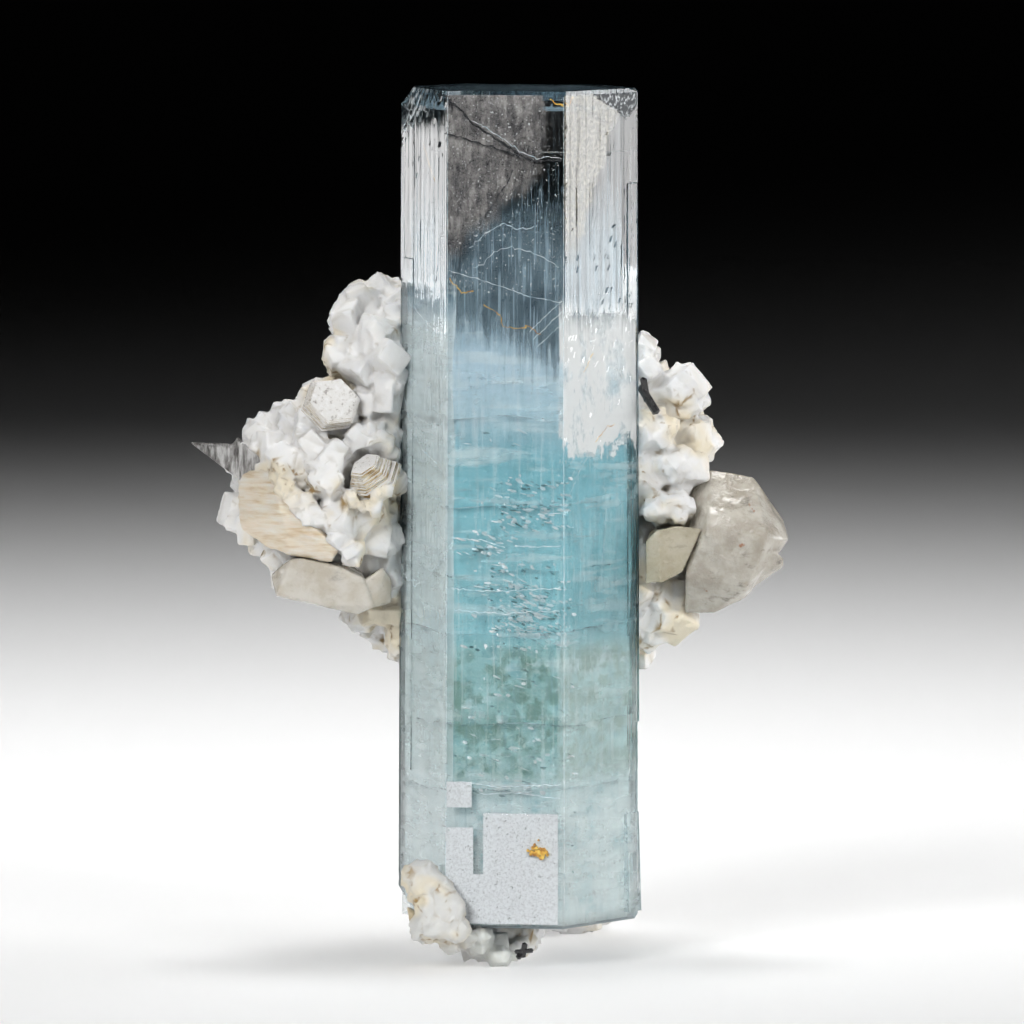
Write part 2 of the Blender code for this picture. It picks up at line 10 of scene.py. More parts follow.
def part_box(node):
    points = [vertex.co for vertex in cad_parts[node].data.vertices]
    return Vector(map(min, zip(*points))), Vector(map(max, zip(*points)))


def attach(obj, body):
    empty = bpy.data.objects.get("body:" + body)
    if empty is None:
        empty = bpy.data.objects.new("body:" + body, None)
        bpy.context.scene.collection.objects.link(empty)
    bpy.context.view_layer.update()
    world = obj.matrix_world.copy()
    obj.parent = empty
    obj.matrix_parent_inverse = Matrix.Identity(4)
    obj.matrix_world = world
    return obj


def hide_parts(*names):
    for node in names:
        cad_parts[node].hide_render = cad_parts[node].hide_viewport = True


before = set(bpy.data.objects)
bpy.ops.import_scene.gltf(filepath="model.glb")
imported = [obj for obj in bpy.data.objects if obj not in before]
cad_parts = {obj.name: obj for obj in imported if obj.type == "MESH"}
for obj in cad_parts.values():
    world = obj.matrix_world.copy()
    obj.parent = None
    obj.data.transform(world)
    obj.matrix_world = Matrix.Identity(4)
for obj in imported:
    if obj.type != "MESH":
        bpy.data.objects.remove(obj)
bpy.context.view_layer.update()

MM = 0.001

# The tables are in millimetres from the aquamarine's axis and the ground, as the solids are.
feldspar_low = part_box("feldspar_left")[0]
AXIS = Vector((feldspar_low.x + 35.2 * MM, feldspar_low.y + 5.4 * MM, 0.0))


def place(x, y, z):
    return AXIS + Vector((x, y, z)) * MM


# Bench: small helpers for meshes and materials.


def mesh_object(name, points, faces, smooth=False):
    mesh = bpy.data.meshes.new(name)
    mesh.from_pydata([tuple(p) for p in points], [], [tuple(f) for f in faces])
    mesh.validate()
    made = bpy.data.objects.new(name, mesh)
    bpy.context.scene.collection.objects.link(made)
    if smooth:
        mesh.shade_smooth()
    return made


def settle(obj):
    """Applies an object's modifiers to its mesh."""
    graph = bpy.context.evaluated_depsgraph_get()
    mesh = bpy.data.meshes.new_from_object(obj.evaluated_get(graph))
    obj.modifiers.clear()
    obj.data = mesh
    return obj


def finish_piece(obj, material, slot, *nodes):
    """Gives a finished piece its material, its body and the solids that it stands for, which it hides; slot
    is not used.
    """
    obj.data.materials.clear()
    obj.data.materials.append(material)
    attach(obj, "root")
    if nodes:
        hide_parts(*nodes)
    return obj


def copy_of(node, name):
    """A merged copy of a solid, to carve detail into."""
    made = bpy.data.objects.new(name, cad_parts[node].data.copy())
    bpy.context.scene.collection.objects.link(made)
    bm = bmesh.new()
    bm.from_mesh(made.data)
    bmesh.ops.remove_doubles(bm, verts=bm.verts, dist=0.002 * MM)
    bmesh.ops.recalc_face_normals(bm, faces=bm.faces)
    bm.to_mesh(made.data)
    bm.free()
    return made


def remeshed(obj, voxel, smoothing, times):
    remesh = obj.modifiers.new("Remesh", "REMESH")
    remesh.mode = "VOXEL"
    remesh.voxel_size = voxel * MM
    if times:
        smooth = obj.modifiers.new("Smooth", "SMOOTH")
        smooth.factor = smoothing
        smooth.iterations = times
    return settle(obj)


def thinned(obj, wanted):
    """Takes triangles off the flat places of a mesh until about the wanted number is left."""
    triangles = sum(len(polygon.vertices) - 2 for polygon in obj.data.polygons)
    decimate = obj.modifiers.new("Thin", "DECIMATE")
    decimate.ratio = min(1.0, wanted / triangles)
    return settle(obj)


def skinned(obj, thickness):
    """Gives an open sheet a thickness, in mm."""
    obj.modifiers.new("Skin", "SOLIDIFY").thickness = thickness * MM
    return settle(obj)


def slab_faces(start, count, clockwise=False):
    """Faces that close a slab between two outlines of count points, the second above the first."""
    low = [start + i for i in range(count)]
    high = [i + count for i in low]
    faces = [tuple(reversed(low)), tuple(high)]
    for i in range(count):
        j = (i + 1) % count
        faces.append((low[i], low[j], high[j], high[i]))
    return [face[::-1] for face in faces] if clockwise else faces


def tube_faces(rings, ring):
    """Faces of a closed tube of rings of points, one above the other."""
    faces = []
    for row in range(rings - 1):
        low, high = row * ring, (row + 1) * ring
        for i in range(ring):
            j = (i + 1) % ring
            faces.append((low + i, low + j, high + j, high + i))
    last = (rings - 1) * ring
    return [*faces, tuple(reversed(range(ring))), tuple(last + i for i in range(ring))]


def grid_faces(cells):
    """Faces of a square sheet of cells x cells."""
    side = cells + 1
    corners = [i * side + j for i in range(cells) for j in range(cells)]
    return [(k, k + side, k + side + 1, k + 1) for k in corners]


def scatter_tree(name, inputs):
    """An empty geometry tree with the geometry and the given inputs, each a name and a kind."""
    tree = bpy.data.node_groups.new(name, "GeometryNodeTree")
    for label, kind in (("Geometry", "Geometry"), *inputs):
        tree.interface.new_socket(label, in_out="INPUT", socket_type="NodeSocket" + kind)
    tree.interface.new_socket("Geometry", in_out="OUTPUT", socket_type="NodeSocketGeometry")
    return tree


def grown(carrier, tree, values):
    """Runs a geometry tree on an object, with its inputs set by name, and settles it."""
    modifier = carrier.modifiers.new("Scatter", "NODES")
    modifier.node_group = tree
    for item in tree.interface.items_tree:
        if item.item_type == "SOCKET" and item.in_out == "INPUT" and item.name in values:
            modifier[item.identifier] = values[item.name]
    return settle(carrier)


def vertex_arrays(mesh):
    count = len(mesh.vertices)
    points = np.empty(count * 3)
    normals = np.empty(count * 3)
    mesh.vertices.foreach_get("co", points)
    mesh.vertices.foreach_get("normal", normals)
    return points.reshape(-1, 3), normals.reshape(-1, 3)


def write_points(mesh, points):
    mesh.vertices.foreach_set("co", points.astype(np.float32).ravel())
    mesh.update()


def write_attribute(mesh, name, values):
    attribute = mesh.attributes.new(name, "FLOAT", "POINT")
    attribute.data.foreach_set("value", np.asarray(values, np.float32))


class Recipe:
    """A material built node by node around one Principled shader."""

    def __init__(self, name, **sockets):
        self.material = bpy.data.materials.new(name)
        self.material.use_nodes = True
        self.tree = self.material.node_tree
        self.shader = self.tree.nodes["Principled BSDF"]
        self.output = self.tree.nodes["Material Output"]
        for key, value in sockets.items():
            self.shader.inputs[key.replace("_", " ")].default_value = value
        self.where = self.tree.nodes.new("ShaderNodeTexCoord").outputs["Object"]

    def link(self, source, target):
        self.tree.links.new(source, target)

    def feed(self, node, inputs):
        for key, value in inputs.items():
            socket = node.inputs[key]
            if isinstance(value, bpy.types.NodeSocket):
                self.link(value, socket)
            else:
                socket.default_value = value
        return node

    def node(self, kind, settings=(), **inputs):
        made = self.tree.nodes.new("ShaderNode" + kind)
        for key, value in dict(settings).items():
            setattr(made, key, value)
        return self.feed(made, {k.replace("_", " "): v for k, v in inputs.items()})

    def stretched(self, scale, turn=(0, 0, 0)):
        """Object coordinates in millimetres, stretched and turned."""
        mapping = self.node("Mapping", Vector=self.where)
        mapping.inputs["Scale"].default_value = [s / MM for s in scale]
        mapping.inputs["Rotation"].default_value = [math.radians(t) for t in turn]
        return mapping.outputs["Vector"]

    def noise(self, scale, detail, roughness, stretch=(1, 1, 1), turn=(0, 0, 0), distortion=0.0):
        made = self.node(
            "TexNoise", Vector=self.stretched(stretch, turn), Scale=scale, Detail=detail,
            Roughness=roughness, Distortion=distortion,
        )
        return made.outputs["Fac"]

    def cells(self, scale):
        return self.node("TexVoronoi", Vector=self.stretched((1, 1, 1)), Scale=scale).outputs["Distance"]

    def attribute(self, name):
        return self.node("Attribute", {"attribute_name": name}).outputs["Fac"]

    def facing(self, direction, low=0.85, high=0.95):
        """1 on faces that look the given way."""
        flat = self.node("VectorMath", {"operation": "DOT_PRODUCT"})
        self.link(self.node("NewGeometry").outputs["True Normal"], flat.inputs[0])
        flat.inputs[1].default_value = Vector(direction).normalized()
        return self.between(flat.outputs["Value"], low, high)

    def away(self, axis):
        """Distance from the aquamarine's axis and the ground along X, Y or Z, in millimetres."""
        parts = self.node("SeparateXYZ", Vector=self.where)
        return self.times(self.minus(parts.outputs[axis], AXIS[axis]), 1 / MM)

    def across(self):
        return self.away(0)

    def behind(self):
        return self.away(1)

    def height(self):
        return self.away(2)

    def math(self, operation, first, second=0.0, third=0.0):
        made = self.node("Math", {"operation": operation})
        for i, value in enumerate((first, second, third)):
            if i < len(made.inputs):
                self.feed(made, {i: value})
        return made.outputs[0]

    def times(self, first, second):
        return self.math("MULTIPLY", first, second)

    def plus(self, first, second):
        return self.math("ADD", first, second)

    def minus(self, first, second):
        return self.math("SUBTRACT", first, second)

    def most(self, first, second):
        return self.math("MAXIMUM", first, second)

    def scaled(self, value, factor, shift):
        return self.math("MULTIPLY_ADD", value, factor, shift)

    def between(self, value, low, high, out_low=0.0, out_high=1.0, smooth=True):
        made = self.node("MapRange", {"interpolation_type": "SMOOTHSTEP" if smooth else "LINEAR"})
        self.feed(made, {
            "Value": value, "From Min": low, "From Max": high, "To Min": out_low, "To Max": out_high,
        })
        return made.outputs["Result"]

    def ramp(self, value, stops):
        """A colour for each value; the stops are (value, colour)."""
        made = self.node("ValToRGB", Fac=value)
        band = made.color_ramp
        while len(band.elements) < len(stops):
            band.elements.new(1.0)
        for element, (at, colour) in zip(band.elements, stops):
            element.position = at
            element.color = (*colour, 1.0)
        return made.outputs["Color"]

    def coats(self, colour, *over):
        """Lays colours over one another; each is (amount, colour)."""
        for amount, coat in over:
            colour = self.mix(amount, colour, coat)
        return colour

    def mix(self, amount, first, second):
        made = self.node("Mix", {"data_type": "RGBA"})
        for index, value in ((0, amount), (6, first), (7, second)):
            if isinstance(value, tuple):
                value = (*value, 1.0)[:4]
            self.feed(made, {index: value})
        return made.outputs[2]

    def bump(self, height, distance, strength=1.0, normal=None):
        made = self.node("Bump", Height=height, Distance=distance * MM, Strength=strength)
        if normal:
            self.link(normal, made.inputs["Normal"])
        return made.outputs["Normal"]

    def set(self, **sockets):
        self.feed(self.shader, {k.replace("_", " "): v for k, v in sockets.items()})
        return self


# Aquamarine: the same prism as the solid, with the fine growth that its faces carry.

CRYSTAL_BOTTOM = 5.4
CRYSTAL_TOP = 109.3
FACE_NORMALS = [-7.5, 52.5, 112.5, 172.5, 232.5, 292.5]
FACE_TOP = [12.85, 12.95, 12.9, 12.9, 12.95, 12.8]
FACE_BOTTOM = [13.55, 13.05, 13.0, 13.1, 13.05, 13.4]
LEDGES = [  # growth plates: face, left and right, bottom and top, how far they stand out there
    (0, -2.7, 6.6, 5.9, 19.7, 0.10, 0.34),
    (0, -7.4, -4.0, 5.9, 17.9, 0.08, 0.26),
    (0, -4.5, -2.0, 5.9, 12.1, 0.06, 0.18),
    (0, -7.3, -4.2, 20.4, 23.6, 0.12, 0.24),
    (1, 5.2, 7.2, 41.0, 97.5, 0.24, 0.14),
    (1, 4.6, 7.4, 6.4, 18.8, 0.80, 0.42),
    (2, -6.8, -1.0, 30.0, 104.0, 0.55, 0.30),
    (2, 1.5, 6.6, 48.0, 92.0, 0.40, 0.22),
    (3, -6.4, 0.8, 60.0, 101.0, 0.50, 0.30),
    (3, 2.2, 6.5, 78.0, 106.5, 0.35, 0.20),
    (4, -5.6, -0.6, 72.0, 99.0, 0.45, 0.25),
    (5, -6.4, -3.2, 24.0, 88.0, 0.12, 0.07),
]
CHIPS = [  # where a flat chip has broken off, and which way it looks
    ((-13.6, 1.0, 108.7), (-0.80, 0.05, 0.60)),
    ((14.45, -2.0, 109.05), (0.62, -0.25, 0.74)),
    ((-14.3, 1.5, 8.0), (-0.80, 0.0, -0.60)),
    ((4.8, 13.6, 106.6), (0.12, 0.55, 0.83)),
    ((13.6, 2.0, 6.9), (0.62, 0.35, -0.70)),
]
EDGE_COLUMN = 0.16  # mm from a corner to its bevel's first column
COLUMN_GAP = 0.001  # mm between columns that are squeezed together at a corner
LEDGE_SLOPE = 0.05
FACE_HALF = 7.1  # half the width over which a face's upright lines are spread
FRONT, RIGHT, LEFT = 0, 1, 5  # the three faces that the photo shows


def face_direction(index):
    turn = math.radians(FACE_NORMALS[index])
    return Vector((math.sin(turn), -math.cos(turn), 0.0))


def face_distance(index, height):
    share = (height - CRYSTAL_BOTTOM) / (CRYSTAL_TOP - CRYSTAL_BOTTOM)
    return FACE_BOTTOM[index] + (FACE_TOP[index] - FACE_BOTTOM[index]) * share


def prism_corners(height, inset=0.0):
    corners = []
    for index in range(6):
        first = face_direction(index)
        second = face_direction((index + 1) % 6)
        planes = Matrix(((first.x, first.y), (second.x, second.y)))
        distances = Vector((
            face_distance(index, height) - inset, face_distance((index + 1) % 6, height) - inset
        ))
        corner = planes.inverted() @ distances
        corners.append(Vector((corner.x, corner.y, height)))
    return corners


def column_positions(face, pick, count):
    """Where the upright lines of growth run on a face, in mm from its middle."""
    step = 2 * FACE_HALF / count
    lines = [-FACE_HALF + step * (i + pick.uniform(0.1, 0.9)) for i in range(count)]
    for ledge_face, left, right, *_ in LEDGES:
        if ledge_face == face:
            for edge in (left, right):
                lines += [edge - LEDGE_SLOPE, edge + LEDGE_SLOPE]
    return sorted(line for line in lines if abs(line) < FACE_HALF + 0.1)


def chevron_depth(across, height):
    """How far the left face has fallen back, in zigzag steps, towards its broken corner."""
    aside = across + 7.4
    steps = max(0.0, (height - 103.6 - 0.28 * aside - abs(aside % 2.4 - 1.2)) / 1.1)
    return 0.20 * (math.floor(steps) + min(1.0, 3.0 * (steps % 1.0))) * (1.0 - 0.06 * aside)


def growth_depth(face, across, height, line):
    """How far a point of a face lies under it: upright lines, and long stepped plates of growth."""
    broad = Vector((face * 31.7 + across * 0.36, height * 0.016, face * 5.1))
    fine = Vector((face * 17.3 + across * 1.3, height * 0.05, 2.0))
    plates = math.floor(4.0 * (noise.noise(broad) + 0.5)) * 0.026
    plates += math.floor(3.0 * (noise.noise(fine) + 0.5)) * 0.014
    lines = 0.010 * (line % 2) * (1.0 + noise.noise(Vector((line * 3.7, height * 0.03, face * 9.0))))
    rise = 0.0
    for ledge_face, left, right, low, high, rise_low, rise_high in LEDGES:
        if ledge_face == face and left < across < right and low < height < high:
            rise = max(rise, rise_low + (rise_high - rise_low) * (height - low) / (high - low))
    corner = chevron_depth(across, height) if face == LEFT else 0.0
    return max(0.0, plates) + lines + corner - rise


def on_face(face, across, height, depth=0.0):
    """A point under a prism face, in mm."""
    out = face_direction(face)
    spot = out * (face_distance(face, height) - depth) + Vector((0, 0, 1)).cross(out) * across
    return Vector((spot.x, spot.y, height))


def edge_wear(corner, height):
    """How far a corner is worn back: a narrow bevel, with nicks."""
    nick = noise.noise(Vector((corner * 13.0, height * 0.55, 4.0)))
    small = noise.noise(Vector((corner * 7.0, height * 2.3, 8.0)))
    return 0.05 + 0.30 * max(0.0, nick - 0.32) + 0.10 * max(0.0, small - 0.25)


def row_heights(step):
    """The heights of the crystal's rows of points, with a pair at each end of a growth plate."""
    tall = CRYSTAL_TOP - CRYSTAL_BOTTOM
    count = int(tall / step)
    rows = [CRYSTAL_BOTTOM + tall * i / count for i in range(count + 1)]
    for _, _, _, low, high, _, _ in LEDGES:
        for edge in (low, high):
            rows += [edge - LEDGE_SLOPE, edge + LEDGE_SLOPE]
    return sorted(rows)


def make_aquamarine(material, lines=46, step=0.7):
    pick = random.Random(3)
    columns = [column_positions(face, pick, lines) for face in range(6)]
    rows = row_heights(step)
    points = []
    for height in rows:
        corners = prism_corners(height)
        for face in range(6):
            out = face_direction(face)
            across = Vector((0, 0, 1)).cross(out)
            start = corners[face - 1]
            wear = edge_wear((face - 1) % 6, height)
            points.append(place(*(start - Vector((start.x, start.y, 0)).normalized() * wear)))
            left = start.dot(across) + EDGE_COLUMN
            right = corners[face].dot(across) - EDGE_COLUMN
            for line, column in enumerate(columns[face]):
                after = len(columns[face]) - line
                side = min(max(column, left + COLUMN_GAP * line), right - COLUMN_GAP * after)
                depth = growth_depth(face, column, height, line)
                spot = out * (face_distance(face, height) - depth) + across * side
                points.append(place(spot.x, spot.y, height))
    faces = tube_faces(len(rows), len(points) // len(rows))
    crystal = mesh_object("aquamarine_crystal", points, faces)
    bm = bmesh.new()
    bm.from_mesh(crystal.data)
    for point, direction in CHIPS:
        cut = bmesh.ops.bisect_plane(
            bm, geom=bm.verts[:] + bm.edges[:] + bm.faces[:],
            plane_co=place(*point), plane_no=Vector(direction), clear_outer=True,
        )
        rim = [item for item in cut["geom_cut"] if isinstance(item, bmesh.types.BMEdge)]
        bmesh.ops.contextual_create(bm, geom=rim)
    bmesh.ops.recalc_face_normals(bm, faces=bm.faces)
    bm.to_mesh(crystal.data)
    bm.free()
    return finish_piece(crystal, material, "aquamarine", "aquamarine")


def aquamarine_material():
    recipe = Recipe(
        "clear_aquamarine", Base_Color=(0.97, 0.99, 1.0, 1.0), Transmission_Weight=1.0, IOR=1.577,
        Roughness=0.02,
    )
    lines = recipe.noise(1.0, 3.0, 0.6, stretch=(2.6, 2.6, 0.035))
    scuffs = recipe.noise(0.5, 5.0, 0.6, stretch=(1.0, 1.0, 0.5))
    recipe.set(
        Roughness=recipe.between(scuffs, 0.45, 0.75, 0.015, 0.09),
        Normal=recipe.bump(lines, 0.02, 0.5),
    )
    # Light reaches what lies inside, so its inclusions are lit as well as its surface.
    rays = recipe.node("LightPath").outputs["Is Shadow Ray"]
    recipe.set(Alpha=recipe.scaled(rays, -0.95, 1.0))
    depth = recipe.node("VolumeAbsorption")
    depth.inputs["Color"].default_value = (0.08, 0.53, 0.74, 1.0)
    depth.inputs["Density"].default_value = 6.0
    recipe.link(depth.outputs["Volume"], recipe.output.inputs["Volume"])
    return recipe.material


# What lies inside the aquamarine: milky zones, flakes in level bands, and healed cracks.

ZONE_COLOURS = [  # share of the height from the ground to 110 mm, and the colour there
    (0.00, (0.70, 0.80, 0.80)),
    (0.17, (0.68, 0.80, 0.81)),
    (0.21, (0.52, 0.70, 0.71)),
    (0.25, (0.40, 0.66, 0.66)),
    (0.36, (0.38, 0.65, 0.66)),
    (0.38, (0.34, 0.68, 0.74)),
    (0.57, (0.28, 0.61, 0.69)),
    (0.60, (0.34, 0.58, 0.66)),
    (0.625, (0.51, 0.71, 0.79)),
    (0.68, (0.58, 0.76, 0.86)),
    (0.72, (0.42, 0.58, 0.68)),
    (0.77, (0.22, 0.33, 0.40)),
]
ZONE_TOP = 110.0


def zone_shell(name, inset, low, high, material, wobble, lines=30, step=1.5):
    """A closed skin inside the prism, parallel to its faces, on which the milky growth shows."""
    rows = int((high - low) / step)
    points = []
    for row in range(rows + 1):
        height = low + (high - low) * row / rows
        corners = prism_corners(height, inset)
        for face in range(6):
            start, end = corners[face - 1], corners[face]
            for column in range(lines // 2):
                spot = start.lerp(end, column / (lines // 2))
                shift = wobble * noise.noise(spot * 0.11 + Vector((inset * 9.0, 0, 0)))
                flat = Vector((spot.x, spot.y, 0))
                points.append(place(*(spot - flat.normalized() * shift)))
    faces = tube_faces(rows + 1, len(points) // (rows + 1))
    return finish_piece(mesh_object(name, points, faces, smooth=True), material, "aquamarine")


def milk_material(name, strength, seed, solid):
    """Milky, mottled growth that thins out towards the clear top, seen through the faces."""
    recipe = Recipe(name, Roughness=0.9, Specular_IOR_Level=0.1)
    height, aside = recipe.height(), recipe.across()
    left, right = recipe.facing(face_direction(LEFT)), recipe.facing(face_direction(RIGHT))
    bands = recipe.noise(0.22, 4.0, 0.6, stretch=(0.30, 0.30, 2.2), turn=(2, 1, seed))
    mottle = recipe.noise(0.30, 6.0, 0.65, stretch=(1.0, 1.0, 1.1), turn=(seed, 0, 0))
    wisps = recipe.noise(0.16, 6.0, 0.7, stretch=(1.0, 1.0, 0.6), turn=(0, 30, seed))
    specks = recipe.noise(2.4, 3.0, 0.75, turn=(0, 0, seed))
    threads = recipe.noise(2.2, 2.0, 0.6, stretch=(1.0, 1.0, 0.03))
    patches = recipe.noise(0.42, 6.0, 0.65, turn=(30, seed, 0))
    teal = recipe.times(recipe.between(height, 70.0, 63.0), recipe.between(mottle, 0.50, 0.30, 0, 0.9))
    green = recipe.times(recipe.between(height, 23.0, 25.0), recipe.between(height, 41.5, 38.5))
    green = recipe.times(green, recipe.between(patches, 0.44, 0.58))
    # The left face is paler, a painted brightness for the light it catches; the right face's lower half is
    # paler too.
    left_painted_light = recipe.times(left, recipe.between(height, 84.0, 78.0, 0.0, 0.92))
    left_painted_light = recipe.times(left_painted_light, recipe.between(height, 38.0, 48.0, 0.78, 1.0))
    pale_right = recipe.times(right, recipe.between(height, 46.0, 36.0, 0.0, 0.32))
    # White blotches lie behind the right face's upper half.
    jag = recipe.scaled(recipe.noise(0.24, 6.0, 0.7), 12.0, -6.0)
    blotch = recipe.times(right, recipe.between(recipe.plus(height, jag), 64.6, 65.2))
    blotch = recipe.times(blotch, recipe.between(wisps, 0.36, 0.50, 0.3, 1.0))
    colour = recipe.coats(
        recipe.ramp(recipe.math("DIVIDE", height, ZONE_TOP), ZONE_COLOURS),
        (teal, (0.16, 0.42, 0.48)),
        (recipe.between(bands, 0.54, 0.66, 0, 0.6), (0.84, 0.95, 0.96)),
        (green, (0.20, 0.36, 0.31)),
        (recipe.between(threads, 0.52, 0.70, 0, 0.4), (0.90, 0.97, 0.98)),
        (recipe.between(threads, 0.46, 0.34, 0, 0.35), (0.24, 0.42, 0.50)),
        (recipe.between(specks, 0.60, 0.70, 0, 0.55), (0.97, 1.0, 1.0)),
        (recipe.between(specks, 0.40, 0.30, 0, 0.6), (0.12, 0.30, 0.34)),
        # Painted brightness on the left face.
        (left_painted_light, (0.90, 1.0, 1.0)),
        (pale_right, (0.90, 0.97, 0.94)),
        (blotch, (0.86, 0.87, 0.86)),
    )
    # The milk ends along a slope that falls to the right, in feathers, and sooner on the side faces.
    slope = recipe.between(aside, -9.5, 6.0, -3.4, 3.6, smooth=False)
    feathers = recipe.plus(recipe.scaled(wisps, -7.0, 3.5), recipe.scaled(threads, -6.0, 3.0))
    top = recipe.plus(recipe.plus(height, slope), feathers)
    top = recipe.scaled(left, -3.4, recipe.scaled(right, -5.5, top))
    fade = recipe.between(top, 81.4, 75.5)
    grain = recipe.between(recipe.scaled(mottle, 0.6, bands), 0.6, 1.1, 0.45, 1.0)
    body = recipe.times(recipe.most(grain, solid), strength)
    recipe.set(Base_Color=colour, Alpha=recipe.times(fade, recipe.most(body, recipe.times(blotch, 0.85))))
    return recipe.material


def plate_sheets(material):
    """The satin underside of each growth plate at the foot of the front face."""
    points, faces = [], []
    for face, left, right, low, high, _, _ in LEDGES:
        if face == FRONT:
            faces += slab_faces(len(points), 4, clockwise=True)
            for depth in (0.12, 0.15):
                for side, height in ((left, low), (right, low), (right, high), (left, high)):
                    spot = on_face(FRONT, side, height, depth)
                    spot.z += LEDGE_SLOPE if height == low else -LEDGE_SLOPE
                    points.append(place(*spot))
    return finish_piece(mesh_object("growth_plate_satin", points, faces), material, "aquamarine")


def flake_scatter(name, spots, material, size, seed):
    """Small flat flakes on the given spots, by Geometry Nodes."""
    tree = scatter_tree(name + "_scatter", (
        ("Flake Radius", "Float"), ("Flake Thickness", "Float"), ("Tilt", "Float"), ("Seed", "Int"),
        ("Material", "Material"),
    ))
    nodes, link = tree.nodes, tree.links.new
    given, result = nodes.new("NodeGroupInput"), nodes.new("NodeGroupOutput")
    flake = nodes.new("GeometryNodeMeshCylinder")
    flake.inputs["Vertices"].default_value = 5
    link(given.outputs["Flake Radius"], flake.inputs["Radius"])
    link(given.outputs["Flake Thickness"], flake.inputs["Depth"])
    upright = nodes.new("GeometryNodeTransform")
    upright.inputs["Rotation"].default_value = (math.pi / 2, 0, 0)
    link(flake.outputs["Mesh"], upright.inputs["Geometry"])
    # Each flake is tilted a little and stretched its own way.
    turn, grow = (nodes.new("FunctionNodeRandomValue") for _ in range(2))
    turn.data_type = grow.data_type = "FLOAT_VECTOR"
    low, high = (nodes.new("ShaderNodeCombineXYZ") for _ in range(2))
    minus = nodes.new("ShaderNodeMath")
    minus.operation = "MULTIPLY"
    minus.inputs[1].default_value = -1.0
    link(given.outputs["Tilt"], minus.inputs[0])
    for axis in ("X", "Z"):
        link(minus.outputs[0], low.inputs[axis])
        link(given.outputs["Tilt"], high.inputs[axis])
    high.inputs["Y"].default_value = 0.5
    link(low.outputs[0], turn.inputs["Min"])
    link(high.outputs[0], turn.inputs["Max"])
    grow.inputs["Min"].default_value = (0.15, 1.0, 0.08)
    grow.inputs["Max"].default_value = (1.7, 1.0, 0.55)
    spread = nodes.new("GeometryNodeInstanceOnPoints")
    link(given.outputs["Geometry"], spread.inputs["Points"])
    link(upright.outputs["Geometry"], spread.inputs["Instance"])
    for random_value, socket in ((turn, "Rotation"), (grow, "Scale")):
        link(given.outputs["Seed"], random_value.inputs["Seed"])
        link(random_value.outputs["Value"], spread.inputs[socket])
    real, coat = nodes.new("GeometryNodeRealizeInstances"), nodes.new("GeometryNodeSetMaterial")
    link(spread.outputs["Instances"], real.inputs["Geometry"])
    link(real.outputs["Geometry"], coat.inputs["Geometry"])
    link(given.outputs["Material"], coat.inputs["Material"])
    link(coat.outputs["Geometry"], result.inputs["Geometry"])
    flakes = grown(mesh_object(name, spots, []), tree, {
        "Flake Radius": size * MM, "Flake Thickness": 0.05 * MM, "Tilt": 0.7, "Seed": seed,
        "Material": material,
    })
    return finish_piece(flakes, material, "aquamarine")


FLAKE_BANDS = [  # height, how many, middle and half width from side to side, scatter in height
    (60.6, 26, 2.0, 8.0, 0.5), (58.2, 34, 1.5, 6.5, 0.7), (55.8, 34, 1.0, 4.0, 0.8),
    (54.2, 20, -4.0, 7.0, 0.4), (52.4, 22, -5.0, 3.0, 0.5), (50.2, 30, 0.0, 9.0, 0.5),
    (47.8, 44, 0.0, 7.0, 0.8), (46.0, 40, 2.0, 5.0, 0.8), (44.2, 56, 1.5, 5.0, 1.0),
    (42.6, 44, 2.0, 6.0, 0.6), (40.4, 20, 0.0, 10.0, 0.3), (36.0, 18, 3.0, 8.0, 1.4),
    (31.0, 22, -2.0, 9.0, 1.8), (26.0, 22, 2.0, 9.0, 1.2), (22.6, 34, -1.0, 6.0, 0.5),
    (17.0, 20, 7.0, 4.0, 3.0), (12.0, 24, 8.0, 4.0, 3.0), (66.5, 10, 0.0, 9.0, 1.0),
]
FLAKE_LAYER = -12.35  # mm from the axis to the layer of flakes just behind the front face


def inside_prism(x, y, z, margin):
    flat = Vector((x, y, 0))
    return all(flat.dot(face_direction(face)) < face_distance(face, z) - margin for face in range(6))


def band_spots(share, seed):
    """Places for flakes: the given share of every band's number."""
    pick = random.Random(seed)
    spots = []
    for height, count, middle, half, scatter in FLAKE_BANDS:
        for _ in range(int(count * share)):
            x = middle + pick.gauss(0, 0.55) * half
            y = FLAKE_LAYER + pick.uniform(-0.3, 0.4)
            z = height + pick.gauss(0, 1) * scatter
            if inside_prism(x, y, z, 0.25):
                spots.append(place(x, y, z))
    return spots


def level_crack(name, level, material, seed, cells=40, half=13.0):
    """A wavy healed crack: a thin, nearly level sheet, kept inside the crystal's faces."""
    right, up = Vector((1, 0, 0.02)).normalized(), Vector((0, 1, 0.03)).normalized()
    out = right.cross(up)
    points, keep = [], []
    for i in range(cells + 1):
        for j in range(cells + 1):
            a, b = (2 * i / cells - 1) * half, (2 * j / cells - 1) * half
            where = Vector((a * 0.13, b * 0.13, seed * 3.3))
            bend = 0.7 * (noise.noise(where) + 0.4 * noise.noise(where * 3.1))
            spot = Vector((0, 0, level)) + right * a + up * b + out * bend
            keep.append(inside_prism(spot.x, spot.y, spot.z, 0.5))
            points.append(place(*spot))
    faces = [quad for quad in grid_faces(cells) if all(keep[k] for k in quad)]
    sheet = mesh_object(name, points, faces, smooth=True)
    bm = bmesh.new()
    bm.from_mesh(sheet.data)
    bmesh.ops.delete(bm, geom=[vertex for vertex in bm.verts if not vertex.link_faces], context="VERTS")
    bm.to_mesh(sheet.data)
    bm.free()
    return finish_piece(skinned(sheet, 0.03), material, "aquamarine")


